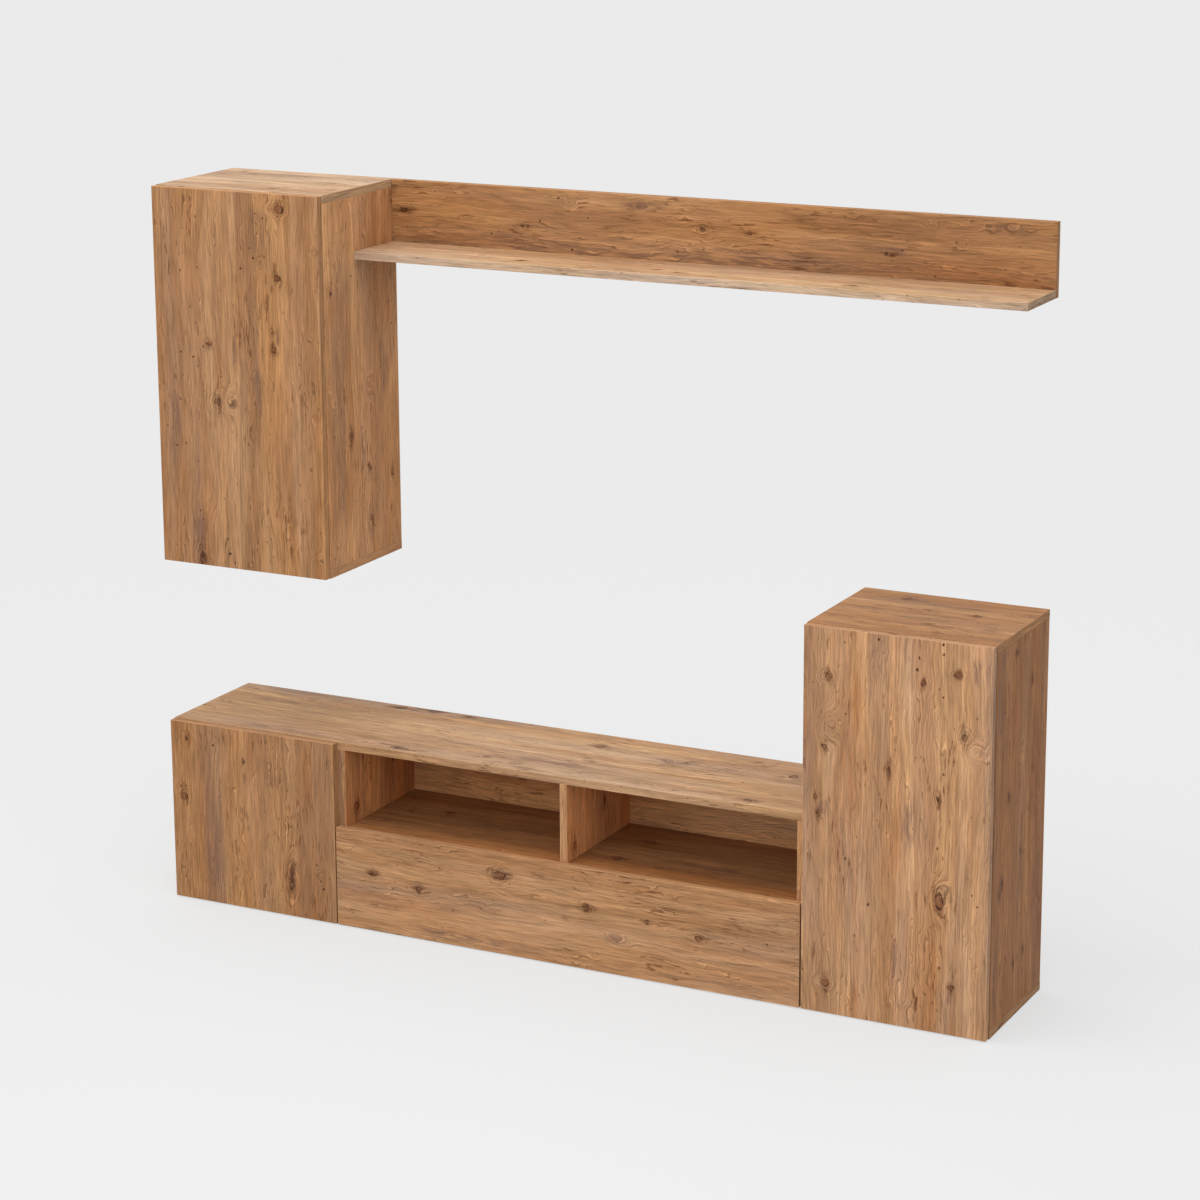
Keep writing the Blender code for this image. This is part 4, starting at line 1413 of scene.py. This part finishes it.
@dataclass(frozen=True)
class WallCabinet:
    """The cabinet at the top left, with one door."""

    left: float = -0.900
    right: float = -0.511
    foot: float = 0.7265
    hinge_axis: float = -0.894
    hinge_heights: tuple[float, float] = (0.8275, 1.3965)
    peg_rows: tuple[float, float] = (-0.082, 0.095)
    cap_height: float = 0.7765
    nail_pitch: float = 0.12
    buffer_heights: tuple[float, float] = (0.7385, 1.4855)
    bracket_screws: tuple[float, float] = (-0.012, 0.014)

    def door(self) -> Board:
        """Lays the decor on the door as it is seen.

        Returns:
            The board.
        """
        return Board(
            "wall_cabinet_door", "x", "z", (self.left, self.foot), 1.3, light=0.865, cast=MILD_CAST,
            rings=(
                (301, 740, 11, 0.8), (292, 602, 8, 0.9), (128, 461, 9, 0.5), (279, 460, 6, 1.0),
                (275, 495, 4, 1.0),
            ),
            solids=((143, 343, 9, 1.1), (97, 15, 11, 1.2)),
            swirls=(
                (280, 738, 26, 0.7), (112, 452, 7, 0.8), (375, 660, 14, 1.2), (250, 630, 22, 1.4),
                (372, 45, 13, 1.8), (366, 498, 9, 1.2), (170, 345, 24, 1.9),
            ),
            pins=(
                (245, 760), (245, 731), (263, 720), (104, 716), (94, 735), (104, 614), (89, 430), (98, 413),
                (92, 215), (93, 116), (100, 97), (214, 263), (176, 284), (156, 62), (163, 31), (172, 13),
                (333, 190), (85, 532), (33, 280), (20, 285), (42, 245), (65, 252), (60, 437), (63, 603),
                (362, 225), (230, 657), (237, 640), (292, 602), (186, 432), (207, 617), (98, 500),
                (55, 342),
            ),
            smoke_and_shade=(
                (250, 685, 46, 130), (288, 486, 18, 40), (240, 370, 26, 130), (178, 330, 20, 60),
                (95, 60, 60, 130), (190, 480, 34, 160),
            ),
            amber=((4, 730, 22, 150), (4, 140, 24, 220), (150, 410, 26, 160)),
            pale=((205, 210, 26, 240),),
        )

    def side(self) -> Board:
        """Lays the decor on the side that shows.

        Returns:
            The board.
        """
        return Board(
            # Light 1.18 paints this side lighter for the light that falls on it, and the big pale patch at
            # its upper front paints more light.
            "wall_cabinet_right_side", "y", "z", (FRONT_Y, self.foot), 4.7, light=1.18, cast=MILD_CAST,
            rings=((173, 200, 5), (180, 194, 4), (265, 168, 7), (178, 92, 7)),
            solids=((40, 573, 6), (107, 275, 9), (283, 727, 6)),
            swirls=((176, 365, 28, 1.6), (30, 385, 14, 1.5)),
            pins=(
                (25, 713), (150, 285), (172, 68), (272, 478), (265, 525), (60, 470), (120, 600), (210, 560),
            ),
            smoke_and_shade=((178, 80, 30, 90), (150, 250, 22, 120), (240, 420, 40, 200), (262, 590, 60, 150)),
            amber=((40, 540, 24, 120), (90, 150, 26, 200), (250, 560, 110, 200)),
            pale=((50, 690, 150, 260), (80, 60, 120, 160)),
        )

    def boards(self) -> list[Board]:
        """Lists every faced board.

        Returns:
            The boards.
        """
        top = Board(
            # Light 1.18 and the sheen cast paint this top lighter and paler, a painted sheen.
            "wall_cabinet_top", "y", "x", (FRONT_Y, self.left), 7.9, light=1.18, cast=SHEEN_PALEST_CAST,
            rings=((64, 245, 6),),
            swirls=((62, 205, 5),),
            smoke_and_shade=((118, 110, 20, 120), (250, 150, 16, 90)),
            amber=((180, 300, 30, 120),),
        )
        start = (FRONT_Y, self.left)
        bottom = Board("wall_cabinet_bottom", "y", "x", start, 11.0, rings=((130, 240, 7),))
        shelf = Board("wall_cabinet_shelf", "y", "x", start, 12.0, rings=((130, 240, 7),))
        left = Board(
            "wall_cabinet_left_side", "y", "z", (FRONT_Y, self.foot), 15.1,
            rings=((90, 160, 9), (160, 660, 6), (60, 420, 7)),
            solids=((210, 520, 10),),
            pins=((120, 100), (240, 300), (40, 610), (180, 350), (100, 700)),
            smoke_and_shade=((200, 480, 40, 220),),
            amber=((80, 260, 30, 180),),
        )
        back = Board(
            "wall_cabinet_back", "x", "z", (self.left, self.foot), 17.3, raw_back=True,
            rings=((120, 500, 8), (300, 200, 9)),
        )
        return [self.door(), self.side(), top, left, back, bottom, shelf]

    def build(self, shop: Workshop) -> None:
        """Dresses the cabinet and fits its hinges, latch, pegs, caps, nails and buffers.

        Args:
            shop: the shared finishes.
        """
        for board in self.boards():
            shop.pine.dress(board)
        points = [(self.hinge_axis, AXIS_Y, height) for height in self.hinge_heights]
        shop.hinges("wall_cabinet", ("lower", "upper"), points, RIGHT, UP, "wall_door")
        shop.latch("wall_cabinet")
        faces = (self.left + BOARD, self.right - BOARD)
        shop.pegs("wall_cabinet_shelf_pegs", "wall_cabinet_shelf", faces, self.peg_rows)
        shop.caps("wall_cabinet_cam_caps", faces, (self.cap_height,))
        columns = (self.left + MID_BOARD, self.right - MID_BOARD)
        shop.nails("wall_cabinet_back_nails", "wall_cabinet_back", columns, self.nail_pitch)
        spots = [(columns[1], height) for height in self.buffer_heights]
        shop.buffers("wall_cabinet_door_buffers", "wall_cabinet_door", "wall_door", spots)
        self.hang(shop)

    def hang(self, shop: Workshop) -> None:
        """Dresses the hanging brackets and fits their adjusting screws.

        Args:
            shop: the shared finishes.
        """
        seats = []
        for side in ("left", "right"):
            node = f"hanging_bracket_{side}"
            shop.dress_steel(node)
            low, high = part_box(node)
            middle = (low + high) / 2
            seats += [Seat((middle.x, low.y, middle.z + z), FRONT) for z in self.bracket_screws]
        piece = shop.screws("hanging_bracket_screws", HANGING_SCREW, seats, "carcasses")


@dataclass(frozen=True)
class WallShelf:
    """The long shelf beside the wall cabinet, with its upright backboard."""

    left: float = -0.511
    shelf_top: float = 1.3715
    shelf_front: float = -0.01775

    def build(self, shop: Workshop) -> None:
        """Dresses the two boards.

        Args:
            shop: the shared finishes.
        """
        backboard = Board(
            "wall_shelf_backboard", "z", "x", (self.shelf_top, self.left), 21.7,
            # Light 0.73 with the ruddy cast darkens this board, painted shade.
            light=0.73, cast=RUDDY_CAST,
            rings=((66, 795, 5),),
            solids=(
                (66, 28, 7, 1.6), (49, 300, 4), (48, 312, 4), (68, 695, 8, 1.2), (46, 1076, 4),
                (45, 1088, 4),
            ),
            swirls=((98, 405, 16, 1.6), (100, 560, 15, 1.8), (100, 1165, 16, 1.6), (106, 1325, 14, 1.8)),
            pins=(
                (75, 447), (76, 1215), (10, 410), (10, 1175), (62, 340), (110, 380), (30, 230), (20, 640),
                (52, 1110),
            ),
            # The four wide smoke patches 2 to 12 mm above the shelf paint the shadow in the corner over the
            # shelf.
            smoke_and_shade=(
                (105, 560, 24, 120), (105, 1325, 24, 120), (12, 900, 26, 360), (50, 1090, 20, 140),
                (50, 320, 20, 140), (4, 250, 84, 700), (2, 760, 80, 620), (4, 1250, 70, 520),
            ),
            amber=((15, 150, 30, 300), (4, 1220, 84, 560)),
        )
        shelf = Board(
            "wall_shelf_board", "y", "x", (self.shelf_front, self.left), 25.4,
            # Light 1.19 and the sheen cast paint the shelf's top lighter and paler, a painted sheen; the
            # bright edge paints a highlight on its front edge.
            light=1.19, cast=SHEEN_PALEST_CAST, edge=BRIGHT_EDGE,
            rings=((38, 1055, 8),),
            solids=((42, 355, 6), (57, 645, 5), (40, 695, 6)),
            amber=((135, 700, 40, 1300),),
            pale=((60, 250, 30, 300),),
        )
        for board in (backboard, shelf):
            shop.pine.dress(board)


@dataclass(frozen=True)
class Bench:
    """The long low bench: a cabinet with a door, and two open bays."""

    left: float = -0.900
    partition_face: float = -0.522
    hinge_axis: float = -0.894
    hinge_heights: tuple[float, float] = (0.102, 0.2855)
    carcass_front: float = -0.13325
    flap_left: float = -0.505
    peg_rows: tuple[float, float] = (-0.050, 0.095)
    cap_heights: tuple[float, float] = (0.050, 0.340)
    nail_columns: tuple[float, ...] = (-0.892, -0.514, -0.4977, 0.009, 0.5157)
    nail_pitch: float = 0.11
    buffer_spots: tuple[Mark, ...] = ((-0.5145, 0.012), (-0.5145, 0.374))

    def seen_boards(self) -> list[Board]:
        """Lists the boards that show from outside.

        Returns:
            The boards.
        """
        top = Board(
            "bench_top", "y", "x", (self.carcass_front, self.left), 31.2,
            # Light 1.05 and the sheen cast paint this top paler, a painted sheen; the dull edge takes most of
            # it off the front edge.
            light=1.05, cast=SHEEN_PALE_CAST, edge=DULL_EDGE,
            rings=((270, 465, 8, 1.5), (207, 890, 9), (197, 1315, 9), (25, 1295, 9)),
            solids=(
                (262, 387, 9, 1.4), (266, 550, 6, 1.3), (148, 20, 6), (146, 40, 5), (22, 525, 10),
                (20, 1140, 4),
            ),
            swirls=((30, 220, 9, 2.0), (180, 1070, 18, 2.0)),
            pins=(
                (88, 605), (145, 1125), (150, 1150), (60, 500), (190, 140), (230, 300), (110, 800),
                (40, 700), (120, 1240),
            ),
            smoke_and_shade=((200, 190, 14, 280), (180, 1070, 30, 120), (30, 230, 24, 160), (70, 820, 24, 320)),
            amber=((147, 1135, 12, 60),),
        )
        door = Board(
            "bench_door", "x", "z", (self.left, 0.0), 34.9, light=0.86, cast=MILD_CAST,
            rings=((22, 244, 4), (30, 225, 8, 1.2)),
            solids=((40, 350, 7), (177, 320, 5, 1.8), (287, 72, 10, 2.2)),
            swirls=((288, 100, 22, 2.4), (350, 100, 12, 2.0)),
            pins=(
                (282, 275), (282, 175), (293, 155), (366, 72), (348, 124), (350, 100), (357, 88), (138, 40),
                (105, 342), (287, 195),
            ),
            smoke_and_shade=((245, 290, 34, 40), (180, 300, 12, 80), (287, 80, 22, 80), (95, 120, 40, 200)),
            amber=((195, 330, 22, 120), (330, 300, 30, 160)),
        )
        flap = Board(
            "bench_flap", "z", "x", (0.0, self.flap_left), 37.6, light=0.98, cast=COOL_CAST,
            rings=((108, 193, 7), (167, 380, 10, 1.3), (130, 572, 8), (123, 705, 5), (107, 815, 7)),
            solids=((125, 85, 6),),
            swirls=((72, 640, 20, 2.4),),
            pins=((75, 270), (60, 140), (90, 480), (150, 760), (40, 880), (120, 960), (160, 240)),
            smoke_and_shade=(
                (120, 205, 22, 60), (118, 830, 24, 60), (167, 380, 30, 60), (72, 640, 24, 90),
                (75, 270, 10, 80), (20, 300, 26, 400),
            ),
        )
        return [top, door, flap]

    def inner_boards(self) -> list[Board]:
        """Lists the boards inside and underneath.

        Returns:
            The boards.
        """
        start = (FRONT_Y, self.left)
        foot = (FRONT_Y, 0.0)
        return [
            Board(
                # Light 0.63 and the warm shade cast paint the shade inside the bays; the pale patch at the
                # rear paints light there.
                "bench_bay_floor", "y", "x", start, 41.1, light=0.63, cast=WARM_SHADE_CAST,
                rings=((190, 560, 8), (90, 990, 9), (210, 1010, 8)),
                pins=((60, 700), (150, 820), (100, 1200)),
                smoke_and_shade=((150, 700, 30, 300), (120, 1180, 26, 260)),
                pale=((235, 1180, 110, 560),),
            ),
            Board(
                # Light and the warm shade cast paint the light and shade inside the bays on this board; the
                # shaded edge keeps its lit front edge from them.
                "bench_left_upright", "y", "z", foot, 43.2, light=1.32, cast=WARM_SHADE_CAST, edge=SHADED_EDGE,
                rings=((60, 240, 9), (210, 300, 6)),
            ),
            Board(
                # Light and the warm shade cast paint the light and shade inside the bays on this board; the
                # shaded edge keeps its lit front edge from them.
                "bench_divider", "y", "z", foot, 45.8, light=1.48, cast=WARM_SHADE_CAST, edge=SHADED_EDGE,
                rings=((50, 235, 8), (180, 290, 6)),
            ),
            Board("bench_right_upright", "y", "z", foot, 47.5, rings=((120, 300, 6),)),
            Board("bench_partition", "y", "z", foot, 49.4, rings=((150, 220, 8),)),
            Board(
                "bench_left_side", "y", "z", foot, 51.6,
                rings=((80, 270, 9),),
                solids=((220, 110, 8),),
                pins=((150, 200), (40, 90)),
                smoke_and_shade=((200, 150, 40, 180),),
            ),
            Board("bench_bottom", "y", "x", start, 53.3, rings=((120, 400, 9), (200, 1000, 9))),
            Board("bench_cabinet_shelf", "y", "x", start, 55.7, rings=((120, 200, 7),)),
            Board(
                # Light 1.45 lightens the back where it shows in the bays, painted light; its pale patch in
                # the right bay paints more light.
                "bench_back", "z", "x", (0.0, self.left), 57.9, light=1.45, raw_back=True,
                rings=((290, 600, 6), (310, 1080, 7)),
                amber=((300, 640, 220, 600),),
                pale=((300, 1190, 220, 620),),
            ),
        ]

    def build(self, shop: Workshop) -> None:
        """Dresses the bench and fits its door's hardware.

        Args:
            shop: the shared finishes.
        """
        for board in self.seen_boards() + self.inner_boards():
            shop.pine.dress(board)
        points = [(self.hinge_axis, AXIS_Y, height) for height in self.hinge_heights]
        shop.hinges("bench", ("lower", "upper"), points, RIGHT, UP, "bench_leaf")
        shop.latch("bench_door")
        faces = (self.left + BOARD, self.partition_face)
        shop.pegs("bench_shelf_pegs", "bench_cabinet_shelf", faces, self.peg_rows)
        shop.caps("bench_cam_caps", faces, self.cap_heights)
        shop.nails("bench_back_nails", "bench_back", self.nail_columns, self.nail_pitch)
        shop.buffers("bench_door_buffers", "bench_door", "bench_leaf", self.buffer_spots)


@dataclass(frozen=True)
class FlapCompartment:
    """The compartment under the bays: its wide flap's hinges, latch and stay."""

    axis_height: float = 0.006
    hinge_places: tuple[float, float, float] = (-0.404, 0.00885, 0.4217)
    buffer_spots: tuple[Mark, ...] = ((-0.4977, 0.200), (0.5150, 0.200))
    bolt_face: float = 0.5077
    stay_foot: float = -0.13095
    stay_screw_inset: float = 0.008
    stay_screw: float = 0.011
    stud_flange: float = 0.002
    stud_screw: float = 0.0075

    def build(self, shop: Workshop) -> None:
        """Dresses the flap's hardware and fits its screws.

        Args:
            shop: the shared finishes.
        """
        points = [(place, AXIS_Y, self.axis_height) for place in self.hinge_places]
        shop.hinges("flap", ("left", "middle", "right"), points, UP, RIGHT, "flap")
        shop.latch("bench_flap")
        shop.buffers("bench_flap_buffers", "bench_flap", "flap", self.buffer_spots)
        self.stay(shop)
        shop.bolts("bench_joining_bolts", self.bolt_face, LEFT)

    def stay(self, shop: Workshop) -> None:
        """Dresses the slotted stay and screws its bracket and stud on.

        Args:
            shop: the shared finishes.
        """
        shop.dress_steel("flap_stay_arm", "flap_stay_bracket", "flap_stay_stud")
        low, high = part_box("flap_stay_bracket")
        x, middle = high.x - self.stay_screw_inset, (low.z + high.z) / 2
        seats = [Seat((x, self.stay_foot, middle + side * self.stay_screw), BACK) for side in (-1, 1)]
        screws = shop.screws("flap_stay_bracket_screws", STAY_SCREW, seats, "flap")
        low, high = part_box("flap_stay_stud")
        middle = (low + high) / 2
        x = low.x + self.stud_flange
        seats = [Seat((x, middle.y, middle.z + side * self.stud_screw), RIGHT) for side in (-1, 1)]
        screws = shop.screws("flap_stay_stud_screws", STUD_SCREW, seats, "carcasses")


@dataclass(frozen=True)
class TallCabinet:
    """The cabinet at the right end, with one door hinged on its right."""

    left: float = 0.524
    right: float = 0.900
    hinge_axis: float = 0.894
    hinge_heights: tuple[float, float] = (0.102, 0.6605)
    peg_rows: tuple[float, float] = (-0.050, 0.095)
    cap_heights: tuple[float, float] = (0.050, 0.712)
    nail_pitch: float = 0.12
    buffer_heights: tuple[float, float] = (0.012, 0.750)

    def door(self) -> Board:
        """Lays the decor on the door as it is seen.

        Returns:
            The board.
        """
        return Board(
            "tall_cabinet_door", "x", "z", (self.left, 0.0), 61.5, light=1.065, cast=COOL_CAST,
            rings=(
                (52, 668, 8, 0.8), (45, 532, 6, 0.9), (28, 430, 5), (308, 702, 8, 0.5), (240, 678, 5),
                (278, 262, 9, 2.0), (52, 64, 9, 0.9), (305, 96, 8, 0.6),
            ),
            solids=((33, 400, 6), (175, 503, 5, 1.8), (322, 585, 9), (272, 460, 5, 1.4)),
            swirls=(
                (42, 666, 22, 0.7), (50, 572, 34, 1.6), (340, 560, 26, 1.6), (278, 270, 26, 2.4),
                (40, 62, 24, 0.8), (275, 157, 6),
            ),
            pins=(
                (231, 725), (278, 754), (280, 737), (271, 670), (279, 654), (297, 563), (283, 510),
                (273, 365), (284, 345), (335, 315), (353, 264), (342, 285), (138, 233), (191, 173),
                (279, 132), (253, 74), (270, 60), (278, 47), (20, 653), (84, 735), (86, 600), (112, 166),
                (90, 316), (345, 623), (228, 702), (4, 82), (238, 538), (151, 750),
            ),
            smoke_and_shade=(
                (43, 412, 26, 40), (190, 120, 14, 130), (215, 410, 40, 120), (358, 560, 14, 90),
                (305, 78, 22, 40), (348, 710, 36, 70),
            ),
            amber=(
                (110, 630, 24, 130), (188, 370, 24, 180), (110, 30, 22, 110), (82, 560, 14, 260),
                (6, 600, 12, 260),
            ),
            pale=((205, 660, 50, 180), (50, 500, 40, 130), (325, 540, 44, 160)),
        )

    def boards(self) -> list[Board]:
        """Lists every faced board.

        Returns:
            The boards.
        """
        foot = (FRONT_Y, 0.0)
        start = (FRONT_Y, self.left)
        side = Board(
            # Light 0.68 and the warm shade cast paint this side's shade, since it faces away from the light.
            "tall_cabinet_right_side", "y", "z", foot, 64.2, light=0.68, cast=WARM_SHADE_CAST,
            rings=((95, 452, 7), (140, 108, 6), (190, 120, 5), (120, 722, 9, 0.7)),
            solids=((207, 647, 6), (68, 290, 7), (52, 272, 6)),
            swirls=((150, 520, 24, 2.0),),
            pins=((66, 620), (12, 432), (59, 423), (200, 380), (240, 240), (110, 200)),
            smoke_and_shade=(
                (120, 722, 40, 30), (60, 280, 30, 70), (230, 500, 40, 260), (40, 120, 30, 200),
                (18, 420, 14, 300), (165, 330, 20, 300),
            ),
            amber=((110, 600, 22, 240),),
        )
        top = Board(
            # Light 0.73 with the ruddy cast paints this top darker, the shade under the wall shelf.
            "tall_cabinet_top", "y", "x", (FRONT_Y, self.left), 66.8, light=0.73, cast=RUDDY_CAST,
            rings=((254, 108, 12, 0.5), (190, 268, 10, 0.6)),
            swirls=((140, 290, 16, 1.4),),
            pins=((112, 257), (68, 158), (150, 80), (176, 120), (128, 330), (150, 262), (262, 190)),
            smoke_and_shade=(
                (88, 180, 16, 190), (100, 330, 50, 60), (30, 60, 14, 110), (125, 190, 40, 130),
                (250, 100, 26, 120), (236, 210, 10, 150), (70, 250, 12, 160), (165, 60, 16, 110),
            ),
            amber=((60, 130, 22, 150),),
        )
        return [
            self.door(), side, top,
            Board(
                "tall_cabinet_left_side", "y", "z", foot, 68.1,
                rings=((100, 560, 9),),
                solids=((200, 660, 7),),
                pins=((60, 480), (180, 600)),
                smoke_and_shade=((160, 560, 40, 200),),
            ),
            Board("tall_cabinet_bottom", "y", "x", start, 70.5, light=0.74, rings=((120, 200, 8),)),
            Board("tall_cabinet_shelf", "y", "x", start, 72.6, rings=((160, 130, 7),)),
            Board(
                "tall_cabinet_back", "x", "z", (self.left, 0.0), 74.9, raw_back=True,
                rings=((120, 480, 8),),
            ),
        ]

    def build(self, shop: Workshop) -> None:
        """Dresses the cabinet and fits its hardware.

        Args:
            shop: the shared finishes.
        """
        for board in self.boards():
            shop.pine.dress(board)
        points = [(self.hinge_axis, AXIS_Y, height) for height in self.hinge_heights]
        shop.hinges("tall_cabinet", ("lower", "upper"), points, LEFT, UP, "tall_door")
        shop.latch("tall_cabinet")
        faces = (self.left + BOARD, self.right - BOARD)
        shop.pegs("tall_cabinet_shelf_pegs", "tall_cabinet_shelf", faces, self.peg_rows)
        shop.caps("tall_cabinet_cam_caps", faces, self.cap_heights)
        columns = (self.left + MID_BOARD, self.right - MID_BOARD)
        shop.nails("tall_cabinet_back_nails", "tall_cabinet_back", columns, self.nail_pitch)
        spots = [(columns[0], height) for height in self.buffer_heights]
        shop.buffers("tall_cabinet_door_buffers", "tall_cabinet_door", "tall_door", spots)
        shop.bolts("tall_cabinet_joining_bolts", faces[0], RIGHT)


@dataclass(frozen=True)
class Panel:
    """A square soft lamp: where it hangs, the point that it faces, its side and its power."""

    name: str
    place: Spot
    aim: Spot
    size: float
    power: float

    def build(self) -> None:
        """Makes the lamp."""
        lamp = bpy.data.lights.new(self.name, "AREA")
        lamp.energy, lamp.size = self.power, self.size
        obj = put(self.name, lamp)
        obj.location = self.place
        back = Vector(self.place) - Vector(self.aim)
        obj.rotation_euler = back.to_track_quat("Z", "Y").to_euler()


@dataclass(frozen=True)
class Studio:
    """A pale floor that runs out of sight, under a sky that is brighter overhead and at the front left."""

    pale: float = 0.84
    sky: float = 0.35
    sky_lobes: tuple[tuple[Spot, float], ...] = (((0.0, 0.0, 1.0), 1.02), ((-0.62, -0.62, 0.48), 0.83))
    floor_tone: float = 0.42
    floor_seen: float = 0.59
    floor_glow: float = 0.70
    floor_size: float = 160.0
    floor_gap: float = 0.0005
    floor_squares: int = 8
    panels: tuple[Panel, ...] = (
        Panel("front_panel", (0.50, -2.00, 1.80), (0.0, 0.0, 0.9), 1.4, 9.7),
        Panel("top_panel", (-0.30, -0.75, 3.30), (0.0, 0.0, 1.0), 1.2, 23.0),
    )

    def seen(self, tree: FinishTree) -> bpy.types.NodeSocket:
        """Tells whether the camera sees the surface, straight on or in metal or glass.

        Args:
            tree: the surface's tree.

        Returns:
            A share, 1 where it does.
        """
        path = tree.node("ShaderNodeLightPath").outputs
        glossy = tree.calc("MAXIMUM", path["Is Camera Ray"], path["Is Glossy Ray"])
        return tree.calc("MAXIMUM", glossy, path["Is Transmission Ray"])

    def build(self) -> None:
        """Makes the floor, the sky and the panels."""
        self.floor()
        self.sky_dome()
        for panel in self.panels:
            panel.build()
        LOG.info("studio: sky %.2f with %d lobes, %d panels", self.sky, len(self.sky_lobes), len(self.panels))

    def sky_dome(self) -> None:
        """Makes the sky, which the camera sees as plain pale."""
        world = bpy.data.worlds.new("pale studio")
        bpy.context.scene.world = world
        world.use_nodes = True
        tree = FinishTree(world.node_tree)
        way = tree.node("ShaderNodeTexCoord").outputs["Generated"]
        light: Value = self.sky
        for direction, strength in self.sky_lobes:
            facing = tree.node("ShaderNodeVectorMath", operation="DOT_PRODUCT")
            tree.feed(facing.inputs[0], way)
            tree.feed(facing.inputs[1], direction)
            facing_share = tree.calc("MAXIMUM", facing.outputs["Value"], 0.0)
            light = tree.calc("MULTIPLY_ADD", facing_share, strength, light)
        unseen = tree.calc("SUBTRACT", 1.0, self.seen(tree))
        plain = tree.calc("MULTIPLY", self.seen(tree), self.pale)
        background = tree.node("ShaderNodeBackground")
        background.inputs["Color"].default_value = (1.0, 1.0, 1.0, 1.0)
        tree.feed(background.inputs["Strength"], tree.calc("MULTIPLY_ADD", light, unseen, plain))
        output = tree.node("ShaderNodeOutputWorld")
        tree.feed(output.inputs["Surface"], background.outputs[0])

    def floor(self) -> None:
        """Makes the floor just under the unit."""
        shape = bmesh.new()
        count = self.floor_squares
        bmesh.ops.create_grid(shape, x_segments=count, y_segments=count, size=self.floor_size / 2)
        floor = put("floor", mesh_of("floor", shape))
        floor.location.z = -self.floor_gap
        material, tree = new_material("pale floor")
        seen = self.seen(tree)
        matt = tree.node("ShaderNodeBsdfDiffuse")
        tone = tree.calc("MULTIPLY_ADD", seen, self.floor_seen - self.floor_tone, self.floor_tone)
        tree.feed(matt.inputs["Color"], tree.joined(tone, tone, tone))
        glow = tree.node("ShaderNodeEmission")
        glow.inputs["Color"].default_value = (self.pale,) * 3 + (1.0,)
        mixed = tree.node("ShaderNodeMixShader")
        tree.feed(mixed.inputs[0], tree.calc("MULTIPLY", seen, self.floor_glow))
        tree.feed(mixed.inputs[1], matt.outputs[0])
        tree.feed(mixed.inputs[2], glow.outputs[0])
        output = tree.node("ShaderNodeOutputMaterial")
        tree.feed(output.inputs["Surface"], mixed.outputs[0])
        wear(floor, material)


@dataclass(frozen=True)
class ViewingCamera:
    """The camera at the place from which the unit is shown."""

    eye: Spot = (2.8547, -5.5567, 2.3761)
    turn: Spot = (76.814, 0.291, 26.909)
    lens: float = 98.53
    sensor: float = 36.0
    shift: float = -0.0833
    far: float = 400.0

    def build(self) -> None:
        """Makes the camera and makes it the scene's own."""
        data = bpy.data.cameras.new("camera")
        data.lens, data.sensor_width, data.shift_y = self.lens, self.sensor, self.shift
        data.clip_end = self.far
        camera = put("camera", data)
        camera.location = self.eye
        camera.rotation_euler = [math.radians(angle) for angle in self.turn]
        bpy.context.scene.camera = camera


def main() -> None:
    """Builds the unit's finishes and fittings, then the studio and the camera."""
    logging.basicConfig(level=logging.INFO, format="%(message)s")
    shop = Workshop()
    for part in (WallCabinet(), WallShelf(), Bench(), FlapCompartment(), TallCabinet()):
        part.build(shop)
        LOG.info("%s finished", type(part).__name__)
    Studio().build()
    ViewingCamera().build()
    bpy.context.scene.view_settings.view_transform = "Standard"


if __name__ == "__main__":
    main()
